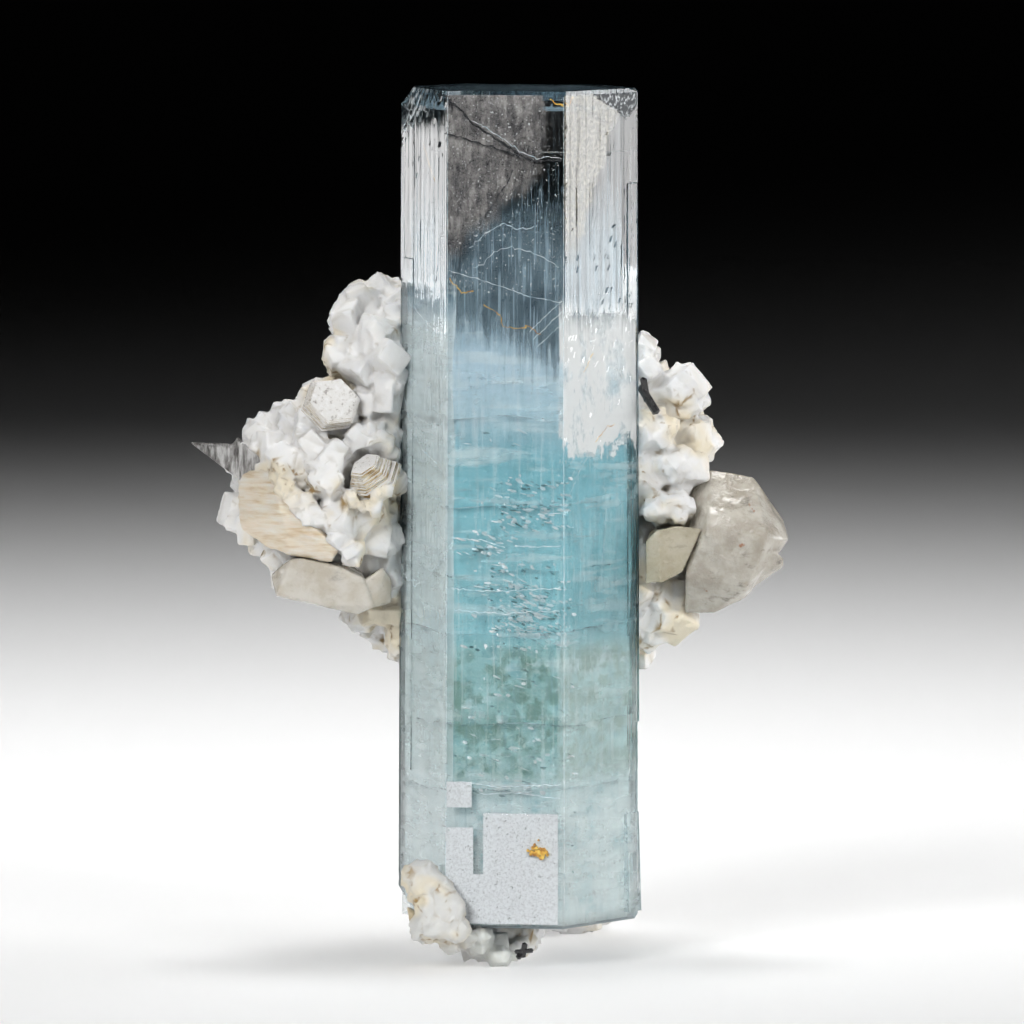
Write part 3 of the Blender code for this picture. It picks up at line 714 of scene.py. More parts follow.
def ribbon(points, faces, line, face, width, depth, pick, wander, step=0.35):
    """Adds a thin wandering line under a prism face; line is where it runs, (across, height)."""
    path = []
    for (a, b), (c, d) in zip(line, line[1:]):
        count = max(1, int(math.hypot(c - a, d - b) / step))
        path += [(a + (c - a) * i / count, b + (d - b) * i / count) for i in range(count)]
    path.append(line[-1])
    path = [(a + pick.gauss(0, wander), b + pick.gauss(0, wander)) for a, b in path]
    for (a, b), (c, d) in zip(path, path[1:]):
        length = math.hypot(c - a, d - b) or 1.0
        half = width * pick.uniform(0.35, 1.0) / 2
        aside = (-(d - b) / length * half, (c - a) / length * half)
        faces += slab_faces(len(points), 4, clockwise=True)
        for level in (depth, depth + 0.02):
            for x, z, side in ((a, b, -1), (c, d, -1), (c, d, 1), (a, b, 1)):
                height = min(z + aside[1] * side, CRYSTAL_TOP - 0.3)
                points.append(place(*on_face(face, x + aside[0] * side, height, level)))


def line_piece(name, lines, material, seed):
    """Thin lines inside the crystal, from a table."""
    pick = random.Random(seed)
    points, faces = [], []
    for face, width, depth, wander, line in lines:
        ribbon(points, faces, line, face, width, depth, pick, wander)
    return finish_piece(mesh_object(name, points, faces), material, "aquamarine")


DARK_CRACKS = [  # face, width, depth, wander, points along it
    (0, 0.34, 0.5, 0.09, [
        (-7.6, 108.6), (-5.9, 107.2), (-4.3, 105.3), (-2.4, 104.2), (-0.4, 102.9), (1.6, 101.6),
        (3.6, 100.6), (5.2, 100.9), (6.9, 100.7),
    ]),
    (0, 0.26, 0.5, 0.09, [(-7.6, 104.0), (-5.0, 103.4), (-2.4, 102.6), (0.0, 101.8), (1.9, 101.0)]),
    (0, 0.22, 0.5, 0.1, [(0.8, 99.6), (0.2, 97.6), (-0.9, 96.6), (-1.6, 95.2), (-2.6, 93.6)]),
    (1, 0.22, 0.2, 0.1, [
        (-6.9, 107.6), (-4.0, 107.4), (-1.0, 106.0), (1.2, 105.3), (2.4, 104.4), (4.4, 107.2),
    ]),
    (1, 0.14, 0.6, 0.1, [(6.4, 104.0), (6.2, 99.0), (6.5, 94.0), (6.1, 88.0), (5.7, 84.0), (4.4, 81.5)]),
]
PALE_CRACKS_AND_HIGHLIGHTS = [
    # The first two are painted highlights: bright lines along the front face's edges.
    (0, 0.07, 0.12, 0.0, [(-7.42, 8.0), (-7.3, 60.0), (-7.2, 108.6)]),
    (0, 0.07, 0.12, 0.0, [(7.42, 8.0), (7.3, 60.0), (7.22, 108.6)]),
    (0, 0.3, 0.35, 0.05, [(1.2, 53.0), (3.4, 52.9)]),
    (0, 0.16, 0.35, 0.05, [(3.4, 52.9), (6.9, 53.1)]),
    (0, 0.14, 0.35, 0.05, [(-7.0, 53.9), (-3.0, 53.7), (0.0, 52.8)]),
    (0, 0.14, 0.35, 0.04, [(4.0, 57.0), (6.9, 57.1)]),
    (0, 0.12, 0.35, 0.06, [(-6.8, 47.6), (-1.0, 47.3), (6.9, 47.9)]),
    (0, 0.12, 0.35, 0.06, [(-6.4, 44.9), (0.0, 44.6), (6.9, 45.0)]),
    (0, 0.12, 0.35, 0.06, [(-6.4, 23.6), (-1.0, 23.0), (6.9, 23.4)]),
    (0, 0.1, 0.35, 0.06, [(-3.4, 22.0), (1.0, 22.3), (6.9, 21.6)]),
    # Painted highlight: a bright line beside the first dark crack.
    (0, 0.09, 0.6, 0.07, [
        (-4.2, 105.6), (-2.2, 104.6), (-0.2, 103.3), (1.8, 101.9), (3.9, 101.0), (5.4, 101.2), (7.0, 101.1),
    ]),
    (0, 0.08, 0.7, 0.1, [(-4.4, 89.8), (-2.6, 91.8), (-0.6, 92.9), (1.4, 92.3), (3.5, 92.5)]),
    (0, 0.08, 0.7, 0.1, [(-3.8, 87.2), (-1.5, 89.4), (0.6, 90.0), (3.4, 89.4), (6.6, 87.6)]),
    (0, 0.08, 0.6, 0.06, [(-7.0, 87.0), (-4.0, 86.2), (0.5, 84.8), (3.0, 83.9), (7.0, 83.2)]),
    (0, 0.08, 0.6, 0.05, [(3.0, 79.6), (5.0, 81.6), (7.0, 83.4)]),
    (0, 0.08, 0.6, 0.05, [(3.4, 78.6), (5.4, 80.6), (7.2, 82.2)]),
    (0, 0.08, 0.6, 0.05, [(4.0, 77.7), (5.8, 79.5), (7.2, 80.8)]),
    (5, 0.14, 0.25, 0.05, [(-7.0, 104.4), (-5.4, 106.0), (-4.6, 105.4), (-3.0, 107.0), (-1.6, 108.4)]),
    (5, 0.12, 0.25, 0.05, [(-7.0, 103.2), (-5.2, 104.9), (-4.2, 104.2), (-2.8, 105.6)]),
    (5, 0.1, 0.25, 0.05, [(-7.0, 101.8), (-5.6, 103.0), (-4.8, 102.4), (-3.8, 103.6)]),
    (5, 0.1, 0.4, 0.1, [(-6.9, 83.4), (-3.6, 82.0), (0.5, 80.4), (4.0, 79.4)]),
    (5, 0.1, 0.4, 0.14, [(-6.5, 70.6), (-4.0, 67.0), (-0.5, 64.4), (4.0, 63.0), (6.8, 62.0)]),
    (5, 0.1, 0.4, 0.14, [(-6.5, 48.6), (-3.0, 47.0), (1.5, 48.5), (6.0, 51.0)]),
    (1, 0.1, 0.5, 0.1, [(1.5, 81.8), (4.0, 82.0), (6.0, 80.5), (7.0, 77.6)]),
    (1, 0.1, 0.5, 0.08, [(-6.9, 58.6), (-4.0, 62.6), (0.0, 66.2), (5.0, 69.6)]),
    (1, 0.12, 0.5, 0.08, [(-6.0, 61.6), (-2.0, 65.0), (2.0, 68.6), (6.6, 71.0)]),
    (1, 0.1, 0.5, 0.08, [(-5.0, 71.4), (-2.0, 75.6), (2.0, 79.0)]),
    (1, 0.1, 0.6, 0.12, [(0.8, 62.0), (1.2, 56.0), (0.2, 49.0), (-0.6, 44.0)]),
]
GOLD_STAINS = [
    (0, 0.16, 0.45, 0.12, [(-7.0, 86.0), (-5.6, 84.4), (-4.0, 84.6)]),
    (0, 0.14, 0.45, 0.1, [(-2.6, 82.8), (-0.6, 81.6), (-0.2, 80.4), (1.6, 80.0)]),
    (0, 0.14, 0.45, 0.1, [(1.6, 80.0), (2.8, 80.4), (4.2, 79.2)]),
    (5, 0.16, 0.45, 0.08, [(-0.6, 102.4), (1.4, 100.0), (3.6, 97.8)]),
    (1, 0.2, 0.2, 0.1, [(-7.2, 107.8), (-6.6, 107.6), (-5.8, 108.6)]),
    (0, 0.26, 0.15, 0.1, [(5.4, 108.5), (6.3, 107.8), (7.2, 107.6)]),
    (1, 0.1, 0.45, 0.08, [(-3.6, 74.4), (-1.6, 76.6)]),
    (1, 0.12, 0.45, 0.08, [(-1.0, 65.6), (1.4, 67.4), (3.8, 67.8)]),
]


def dust_film(name, face, depth, material, cells=60):
    """A thin film of dust behind the top of a prism face, or a thin skin on it where depth is negative."""
    points = []
    for i in range(cells + 1):
        for j in range(cells + 1):
            across, height = -7.3 + 14.4 * i / cells, 84.0 + 24.8 * j / cells
            bend = 0.25 * depth * noise.noise(Vector((across * 0.3, height * 0.3, 1.0)))
            points.append(place(*on_face(face, across, height, depth + bend)))
    film = mesh_object(name, points, grid_faces(cells), smooth=True)
    return finish_piece(skinned(film, 0.02), material, "aquamarine")


def dust_material():
    """Grey dust on the left of the front face's top, with bright specks like stars."""
    recipe = Recipe("grey_dust", Roughness=0.8, Specular_IOR_Level=0.1)
    height, aside = recipe.height(), recipe.across()
    mottle = recipe.noise(0.35, 7.0, 0.7)
    grit = recipe.noise(3.2, 3.0, 0.8)
    ragged = recipe.noise(0.5, 6.0, 0.7, stretch=(1.0, 1.0, 0.5))
    # It ends on the right and below along a ragged diagonal.
    reach = recipe.scaled(ragged, 7.0, recipe.scaled(aside, -0.95, height))
    right = recipe.between(recipe.scaled(ragged, 6.0, aside), 7.0, 4.6, 0.04, 1.0)
    film = recipe.times(recipe.between(reach, 98.5, 103.5), right)
    film = recipe.times(film, recipe.between(grit, 0.30, 0.55, 0.55, 0.95))
    stars = recipe.between(recipe.noise(4.0, 2.0, 0.5), 0.655, 0.70, 0.0, 0.9)
    streaks = recipe.noise(1.3, 5.0, 0.75, stretch=(1.0, 1.0, 0.25), turn=(0, 24, 0))
    shade = recipe.scaled(streaks, 0.5, recipe.times(mottle, 0.5))
    colour = recipe.coats(
        recipe.ramp(shade, [
            (0.38, (0.05, 0.05, 0.055)), (0.50, (0.20, 0.19, 0.185)), (0.62, (0.46, 0.44, 0.42)),
        ]),
        (recipe.between(grit, 0.62, 0.75, 0, 0.8), (0.75, 0.74, 0.72)),
        (stars, (0.9, 0.92, 0.92)),
    )
    recipe.set(Base_Color=colour, Alpha=recipe.most(film, stars))
    return recipe.material


def cream_dust_material():
    """Cream grit on the left of the right face, up to a line that slants."""
    recipe = Recipe("cream_dust", Roughness=0.7, Specular_IOR_Level=0.1)
    height, aside = recipe.height(), recipe.across()
    ragged = recipe.noise(0.4, 6.0, 0.7)
    grit = recipe.noise(2.6, 5.0, 0.8)
    reach = recipe.minus(recipe.scaled(ragged, 3.0, recipe.scaled(height, 0.292, -19.0)), aside)
    film = recipe.times(recipe.between(reach, 1.2, 1.9), recipe.between(height, 87.0, 93.0))
    recipe.set(
        Base_Color=recipe.ramp(grit, [
            (0.40, (0.06, 0.055, 0.045)), (0.52, (0.24, 0.22, 0.17)), (0.64, (0.50, 0.47, 0.39)),
        ]),
        Alpha=recipe.times(film, recipe.between(grit, 0.40, 0.60, 0.25, 0.75)),
    )
    return recipe.material


def broken_corner_material():
    """The dark broken surface with white flecks at the right face's top corner."""
    recipe = Recipe("broken_corner", Roughness=0.5)
    aside_from = recipe.math("ABSOLUTE", recipe.minus(recipe.across(), 13.2))
    ragged = recipe.scaled(recipe.noise(0.5, 6.0, 0.7), 3.0, recipe.height())
    flecks = recipe.between(recipe.noise(2.2, 4.0, 0.7), 0.52, 0.60)
    recipe.set(
        Base_Color=recipe.mix(flecks, (0.012, 0.018, 0.024), (0.62, 0.66, 0.68)),
        Alpha=recipe.between(recipe.scaled(aside_from, -0.8, ragged), 107.0, 107.5, 0.0, 0.95),
    )
    return recipe.material


def slate_material():
    """Dark slate blue seen deep in the crystal, behind fine upright lines."""
    recipe = Recipe("slate_depth", Roughness=0.8, Specular_IOR_Level=0.1)
    height = recipe.height()
    lines = recipe.noise(4.2, 2.0, 0.6, stretch=(1.0, 1.0, 0.02))
    haze = recipe.noise(0.2, 5.0, 0.6, stretch=(1.0, 1.0, 0.7))
    amount = recipe.times(recipe.between(lines, 0.50, 0.66), recipe.between(height, 102.0, 94.0, 0.15, 0.6))
    amount = recipe.most(amount, recipe.between(height, 97.0, 88.5, 0.0, 0.97))
    # Seen from above it closes, so the crystal doesn't look hollow.
    amount = recipe.most(amount, recipe.facing((0, 0, 1), 0.8, 0.9))
    colour = recipe.ramp(haze, [(0.35, (0.065, 0.10, 0.125)), (0.7, (0.20, 0.28, 0.32))])
    colour = recipe.mix(recipe.between(lines, 0.50, 0.68, 0, 0.75), colour, (0.36, 0.48, 0.56))
    recipe.set(Base_Color=colour, Alpha=amount)
    return recipe.material


def stain_patch(name, material, face, across, height, radius, seed, plates=46, corners=6):
    """A crust of iron stain on a prism face: small plates heaped into a ragged patch."""
    pick = random.Random(seed)
    points, faces = [], []
    for _ in range(plates):
        a = across + pick.gauss(0, 0.5) * radius
        b = height + pick.gauss(0, 0.34) * radius
        size = pick.uniform(0.10, 0.28)
        faces += slab_faces(len(points), corners, clockwise=True)
        for level in (-0.32 - pick.uniform(0.0, 0.10), 0.12):
            for i in range(corners):
                angle = math.tau * (i + pick.uniform(-0.3, 0.3)) / corners
                spot = on_face(face, a + size * math.cos(angle), b + size * math.sin(angle), level)
                points.append(place(*spot))
    return finish_piece(mesh_object(name, points, faces), material, "aquamarine")


def veil_material():
    """A healed crack: faint where it closed, with fine dark seams that wander."""
    recipe = Recipe("blue_veil", Roughness=0.35, IOR=1.3)
    patch = recipe.noise(0.3, 6.0, 0.65, distortion=0.8)
    first = recipe.noise(0.165, 5.0, 0.55, turn=(20, 0, 50), distortion=0.9)
    second = recipe.noise(0.21, 5.0, 0.5, turn=(60, 30, 10), distortion=0.5)
    seam = 0.0
    for lines, level in ((first, 0.50), (second, 0.55)):
        near = recipe.math("ABSOLUTE", recipe.minus(lines, level))
        seam = recipe.most(recipe.between(near, 0.0042, 0.0105, 1.0, 0.0), seam)
    seam = recipe.times(seam, recipe.between(patch, 0.35, 0.5))
    recipe.set(
        Base_Color=recipe.mix(seam, (0.70, 0.86, 0.92), (0.02, 0.03, 0.04)),
        Alpha=recipe.most(recipe.between(patch, 0.42, 0.68, 0.0, 0.6), recipe.times(seam, 0.85)),
    )
    return recipe.material


# Albite: the lumpy white mass.

ALBITE_VOXEL = 0.24
ALBITE_TRIANGLES = 180000
ALBITE_TOP = 85.2
GRAIN_LAYERS = [(12.0, 2.0, 3.6), (8.0, 1.3, 2.5), (6.0, 0.8, 1.5)]  # mm2 to a grain, least and most radius
FOOT_FRONT = -6.5  # the albite in front of this is the cluster at the crystal's foot
FOOT_LARGEST = 1.5
STAINED_PLACES = [  # where the albite is cream and rusty: the place, how far it reaches, how strongly
    ((18.0, 0.0, 40.0), 13.0, 0.9), ((20.0, 2.0, 66.0), 16.0, 0.25), ((-18.5, 3.0, 85.5), 5.0, 0.7),
    ((-12.0, -11.0, 9.0), 5.0, 0.5), ((-31.0, 0.0, 60.0), 6.0, 0.5), ((-17.0, 0.0, 42.0), 9.0, 0.4),
]
BORDER = [  # the upper edge of the feldspar, over which albite has grown
    (-31.4, -0.8, 62.2), (-30.3, -3.4, 59.4), (-29.2, -5.0, 57.0), (-27.0, -5.2, 55.6), (-24.8, -5.2, 54.2),
    (-22.4, -4.8, 51.8), (-21.0, -4.4, 50.2),
]
UPPER_BOOK_UP = (0.22, -0.90, 0.36)
LOWER_BOOK_UP = (-0.42, -0.46, 0.78)
BOOK_SITES = [((-23.3, -1.6, 69.9), UPPER_BOOK_UP, 3.7), ((-18.2, -2.8, 61.0), LOWER_BOOK_UP, 2.5)]
NEEDLE_SITES = [((16.0, -1.3, 70.8), 1.7), ((0.6, -10.2, 2.3), 1.5)]


def grain_site_free(spot, radius):
    """Keeps albite grains off the aquamarine, the mica books, the tourmaline and the ground."""
    if spot.z < 0.4 + radius * 0.7 or spot.z > ALBITE_TOP - radius * 0.8:
        return False
    if spot.z > CRYSTAL_BOTTOM - 1.0 and inside_prism(*spot, -0.45 * radius):
        return False
    for centre, normal, reach in BOOK_SITES:
        gap, up = spot - Vector(centre), Vector(normal).normalized()
        depth = gap.dot(up)
        if -3.0 < depth < 6.0 and (gap - up * depth).length < reach + radius * 0.55:
            return False
    return all((spot - Vector(centre)).length > reach + radius for centre, reach in NEEDLE_SITES)


def surface_spots(mesh, every, low, high, seed):
    """Spots spread over a surface by area, each with a size, in mm from the axis and the ground."""
    pick = random.Random(seed)
    mesh.calc_loop_triangles()
    spots, sizes = [], []
    for triangle in mesh.loop_triangles:
        corners = [mesh.vertices[i].co for i in triangle.vertices]
        wanted = triangle.area / MM ** 2 / every
        for _ in range(int(wanted + pick.random())):
            a, b = pick.random(), pick.random()
            if a + b > 1:
                a, b = 1 - a, 1 - b
            spot = corners[0] + (corners[1] - corners[0]) * a + (corners[2] - corners[0]) * b
            size = low + (high - low) * pick.random() ** 2
            spot = spot - triangle.normal * size * 0.6 * MM
            local = (spot - AXIS) / MM
            if local.y < FOOT_FRONT:
                size = min(size, FOOT_LARGEST)
            if grain_site_free(local, size):
                spots.append(spot)
                sizes.append(size)
    return spots, sizes


def border_spots(count, seed):
    """Grains of albite that lap over the feldspar's upper edge."""
    pick = random.Random(seed)
    spots, sizes = [], []
    for _ in range(count):
        leg = pick.randrange(len(BORDER) - 1)
        spot = Vector(BORDER[leg]).lerp(Vector(BORDER[leg + 1]), pick.random())
        spot += Vector((0.55, 0.0, 0.83)) * pick.uniform(0.3, 2.4) + Vector((0, pick.uniform(-0.2, 3.0), 0))
        spots.append(place(*spot))
        sizes.append(pick.uniform(0.7, 1.5))
    return spots, sizes


def pocket_spots(count, seed):
    """Grains of albite that close in round the lower mica book."""
    pick = random.Random(seed)
    centre, normal, _ = BOOK_SITES[1]
    up = Vector(normal).normalized()
    side = up.cross(Vector((0, 1, 0))).normalized()
    other = up.cross(side)
    spots, sizes = [], []
    for number in range(count):
        angle = math.tau * number / count
        size = pick.uniform(0.7, 1.3)
        reach = 4.2 + pick.uniform(0.0, 1.0)
        spot = Vector(centre) + (side * math.cos(angle) + other * math.sin(angle)) * reach
        spot += up * pick.uniform(-2.6, 0.2)
        if spot.x + size < -15.2:
            spots.append(place(*spot))
            sizes.append(size)
    return spots, sizes


def gap_spots(count, seed):
    """Grains of albite over the inner quartz, up to the large one."""
    pick = random.Random(seed)
    spots, sizes = [], []
    for _ in range(count):
        across = pick.uniform(16.6, 21.4)
        spot = (across, pick.uniform(-1.2, 2.4), 55.6 - 0.25 * abs(across - 19.0) + pick.uniform(0.0, 2.6))
        spots.append(place(*spot))
        sizes.append(pick.uniform(0.9, 1.8))
    return spots, sizes


def blocky_grain(name, seed):
    """One grain of albite, about 1 mm in radius, with flat cleavage faces."""
    pick = random.Random(seed)
    bm = bmesh.new()
    for corner in range(8):
        signs = [1 if corner >> axis & 1 else -1 for axis in range(3)]
        for axis in range(3):
            reach = [0.80, 0.62, 0.50]
            reach[axis] -= pick.uniform(0.04, 0.30) * reach[axis]
            bm.verts.new(Vector([sign * part for sign, part in zip(signs, reach)]) * MM)
    bmesh.ops.convex_hull(bm, input=bm.verts)
    bmesh.ops.delete(bm, geom=[v for v in bm.verts if not v.link_faces], context="VERTS")
    mesh = bpy.data.meshes.new(name)
    bm.to_mesh(mesh)
    bm.free()
    return bpy.data.objects.new(name, mesh)


def grown_grains(spots, sizes, shape, seed):
    """A grain on every spot, each turned its own way, by Geometry Nodes."""
    carrier = mesh_object("albite_grains", spots, [])
    write_attribute(carrier.data, "grain_size", sizes)
    tree = scatter_tree("grain_scatter", (("Grain", "Object"), ("Seed", "Int")))
    nodes, link = tree.nodes, tree.links.new
    given, result = nodes.new("NodeGroupInput"), nodes.new("NodeGroupOutput")
    grain = nodes.new("GeometryNodeObjectInfo")
    turn = nodes.new("FunctionNodeRandomValue")
    turn.data_type = "FLOAT_VECTOR"
    turn.inputs["Max"].default_value = (math.tau, math.tau, math.tau)
    size = nodes.new("GeometryNodeInputNamedAttribute")
    size.data_type = "FLOAT"
    size.inputs["Name"].default_value = "grain_size"
    spread = nodes.new("GeometryNodeInstanceOnPoints")
    real = nodes.new("GeometryNodeRealizeInstances")
    link(given.outputs["Grain"], grain.inputs["Object"])
    link(given.outputs["Seed"], turn.inputs["Seed"])
    link(given.outputs["Geometry"], spread.inputs["Points"])
    link(grain.outputs["Geometry"], spread.inputs["Instance"])
    link(turn.outputs["Value"], spread.inputs["Rotation"])
    link(size.outputs["Attribute"], spread.inputs["Scale"])
    link(spread.outputs["Instances"], real.inputs["Geometry"])
    link(real.outputs["Geometry"], result.inputs["Geometry"])
    return grown(carrier, tree, {"Grain": shape, "Seed": seed})


def joined(first, others):
    """Adds the others' meshes to the first object and removes them."""
    bm = bmesh.new()
    bm.from_mesh(first.data)
    for other in others:
        bm.from_mesh(other.data)
        bpy.data.objects.remove(other)
    bm.to_mesh(first.data)
    bm.free()
    return first


def cleaved(point, scale, seed):
    """How far a grain's slanting flat face stands out, in mm, and 1 in the crevice round the grain."""
    where = point * scale + Vector((seed, seed * 0.7, 0))
    distances, centres = noise.voronoi(where)
    slant = noise.noise_vector(centres[0] * 7.3)
    lift = slant.dot(where - centres[0]) / scale
    return max(-0.5, min(0.5, lift)), max(0.0, 1.0 - (distances[1] - distances[0]) / 0.12)


def foot_spots(mesh):
    """Small grains for the cluster at the crystal's foot."""
    spots, sizes = surface_spots(mesh, 1.8, 0.6, 1.5, 27)
    near = [k for k, spot in enumerate(spots) if spot.y < AXIS.y + FOOT_FRONT * MM]
    return [spots[k] for k in near], [sizes[k] for k in near]


def make_albite(material):
    rock = copy_of("albite_matrix", "albite_mass")
    grains = []
    for number, (every, low, high) in enumerate(GRAIN_LAYERS):
        spots, sizes = surface_spots(rock.data, every, low, high, 20 + number)
        grains.append(grown_grains(spots, sizes, blocky_grain(f"grain_{number}", number), number + 2))
    grains.append(grown_grains(*border_spots(110, 31), blocky_grain("border_grain", 7), 8))
    grains.append(grown_grains(*pocket_spots(46, 17), blocky_grain("pocket_grain", 12), 9))
    grains.append(grown_grains(*gap_spots(34, 23), blocky_grain("gap_grain", 15), 10))
    grains.append(grown_grains(*foot_spots(rock.data), blocky_grain("foot_grain", 18), 11))
    joined(rock, grains)
    remeshed(rock, ALBITE_VOXEL, 0.35, 1)
    thinned(rock, ALBITE_TRIANGLES)
    mesh = rock.data
    points, normals = vertex_arrays(mesh)
    crevice, stain = [], []
    origin = np.array(AXIS)
    shifted = np.empty_like(points)
    for i in range(len(points)):
        local = Vector((points[i] - origin) / MM)
        bent = local + noise.noise_vector(local * 0.4) * 0.5
        block, groove = cleaved(bent, 0.30, 8.0)
        step, crack = cleaved(bent, 0.75, 3.0)
        lift = 0.10 * block + 0.10 * step - 0.06 * groove + 0.04 * noise.noise(local * 2.4)
        crevice.append(max(groove, 0.4 * crack))
        stained = noise.noise(local * 0.13 + Vector((4.0, 2.0, 7.0))) + 0.4 * noise.noise(local * 0.6)
        for centre, reach, amount in STAINED_PLACES:
            stained += amount * max(0.0, 1.0 - (local - Vector(centre)).length / reach)
        stain.append(stained)
        shifted[i] = points[i] + normals[i] * lift * MM
    shifted[:, 2] = np.maximum(shifted[:, 2], 0.0)
    shifted[points[:, 2] < 0.25 * MM, 2] = 0.0
    write_points(mesh, shifted)
    # crevice darkens the colour: the grains' thin brown seams, and painted shade.
    write_attribute(mesh, "crevice", crevice)
    write_attribute(mesh, "stain", stain)
    mesh.shade_smooth()
    return finish_piece(rock, material, "albite", "albite_matrix")


def albite_material():
    """White and sugary, cream in places, with rust in its crevices; its hollows, crevices and foot are
    darkened with painted shade.
    """
    recipe = Recipe(
        "sugary_albite", Roughness=0.5, Subsurface_Weight=0.25, Subsurface_Radius=(1.0, 0.95, 0.85),
        Subsurface_Scale=0.8 * MM, IOR=1.53,
    )
    height, behind = recipe.height(), recipe.behind()
    fine = recipe.noise(2.6, 5.0, 0.6)
    stain = recipe.attribute("stain")
    # Pointiness picks out the hollows, which are darkened as painted shade.
    hollow = recipe.between(recipe.node("NewGeometry").outputs["Pointiness"], 0.50, 0.44)
    # The crevice mask carries the brown seams and rust, and also painted shade.
    groove = recipe.between(recipe.attribute("crevice"), 0.35, 0.95)
    patchy = recipe.between(recipe.noise(0.35, 4.0, 0.6), 0.46, 0.58)
    rust = recipe.times(groove, recipe.between(stain, -0.05, 0.30))
    # The cluster low at the crystal's front foot is painted darker grey: painted shade.
    foot = recipe.times(recipe.between(height, 18.0, 12.0), recipe.between(behind, -5.0, -8.0))
    # The root under the crystal's front is greenish and half clear.
    root = recipe.times(recipe.between(height, 6.0, 4.0), recipe.between(recipe.across(), -7.5, -4.5))
    root = recipe.times(root, recipe.between(behind, -2.0, -6.0))
    colour = recipe.coats(
        recipe.ramp(recipe.noise(0.16, 3.0, 0.5), [(0.3, (0.80, 0.80, 0.80)), (0.6, (0.87, 0.86, 0.845))]),
        # Painted shade on the foot cluster.
        (foot, (0.68, 0.68, 0.66)),
        (recipe.between(stain, 0.02, 0.60, 0.0, 0.75), (0.80, 0.70, 0.50)),
        # Painted shade in the hollows.
        (recipe.times(hollow, 0.35), (0.66, 0.63, 0.58)),
        # Partly the crevices' brown seams, partly painted shade.
        (recipe.times(groove, 0.5), (0.55, 0.52, 0.46)),
        (recipe.times(rust, patchy), (0.34, 0.22, 0.08)),
        (recipe.times(root, 0.35), (0.74, 0.79, 0.73)),
    )
    recipe.set(
        Base_Color=colour,
        Roughness=recipe.between(fine, 0.35, 0.65, 0.35, 0.6),
        Normal=recipe.bump(fine, 0.05, 0.6, recipe.bump(recipe.cells(1.6), 0.10, 0.4)),
    )
    return recipe.material


# Quartz and feldspar.


def weathered(node, name, voxel, times, rough, scale, material, slot, ribs=None):
    """A solid with its edges softened and its faces made uneven; ribs are (direction, spacing, depth)."""
    stone = remeshed(copy_of(node, name), voxel, 0.5, times)
    mesh = stone.data
    points, normals = vertex_arrays(mesh)
    origin = np.array(AXIS)
    shifted = np.empty_like(points)
    for i in range(len(points)):
        local = Vector((points[i] - origin) / MM)
        lift = rough * noise.noise(local * scale) + 0.4 * rough * noise.noise(local * scale * 3.3)
        if ribs:
            direction, spacing, depth = ribs
            along = local.dot(direction) / spacing + 0.6 * noise.noise(local * 0.3)
            lift += depth * (abs(along % 1.0 - 0.5) - 0.25) * 2
        shifted[i] = points[i] + normals[i] * (lift + 0.08) * MM
    write_points(mesh, shifted)
    mesh.shade_smooth()
    return finish_piece(stone, material, slot, node)


def quartz_material(name, colour, pale, clear=0.16):
    """Cloudy quartz, with smoky wisps, a little rust and pits that glitter."""
    recipe = Recipe(
        name, Roughness=0.18, IOR=1.544, Transmission_Weight=clear, Subsurface_Weight=0.15,
        Subsurface_Radius=(1.0, 0.95, 0.85), Subsurface_Scale=2.5 * MM,
    )
    cloud = recipe.noise(0.28, 5.0, 0.6)
    pits = recipe.noise(3.2, 4.0, 0.7)
    rust = recipe.noise(0.55, 3.0, 0.5, turn=(20, 40, 0))
    smoke = recipe.noise(0.5, 5.0, 0.7, stretch=(0.6, 0.6, 1.2), turn=(0, 35, 10))
    sparkle = recipe.between(recipe.noise(0.35, 3.0, 0.6, turn=(50, 0, 20)), 0.45, 0.6)
    base = recipe.coats(
        recipe.mix(recipe.between(cloud, 0.35, 0.65), colour, pale),
        (recipe.between(rust, 0.72, 0.78, 0, 0.8), (0.45, 0.16, 0.05)),
        (recipe.between(smoke, 0.56, 0.70, 0, clear * 2.0), (0.20, 0.18, 0.15)),
    )
    recipe.set(
        Base_Color=base,
        Roughness=recipe.between(cloud, 0.3, 0.7, 0.06, 0.26),
        Normal=recipe.bump(recipe.times(pits, sparkle), 0.14, 1.0),
    )
    return recipe.material


def feldspar_material():
    recipe = Recipe(
        "cream_feldspar", Roughness=0.4, Subsurface_Weight=0.3, Subsurface_Radius=(1.0, 0.8, 0.55),
        Subsurface_Scale=1.8 * MM, IOR=1.52,
    )
    bands = recipe.noise(1.0, 4.0, 0.6, stretch=(0.25, 0.25, 1.8), turn=(0, 28, 0))
    stains = recipe.noise(0.3, 4.0, 0.6, stretch=(0.5, 0.5, 1.2), turn=(0, 28, 0))
    colour = recipe.ramp(bands, [
        (0.3, (0.62, 0.48, 0.31)), (0.47, (0.74, 0.65, 0.52)), (0.7, (0.80, 0.76, 0.69)),
    ])
    colour = recipe.mix(recipe.between(stains, 0.54, 0.70, 0, 0.6), colour, (0.60, 0.43, 0.22))
    recipe.set(Base_Color=colour, Normal=recipe.bump(bands, 0.12, 0.7))
    return recipe.material


# Mica and tourmaline.


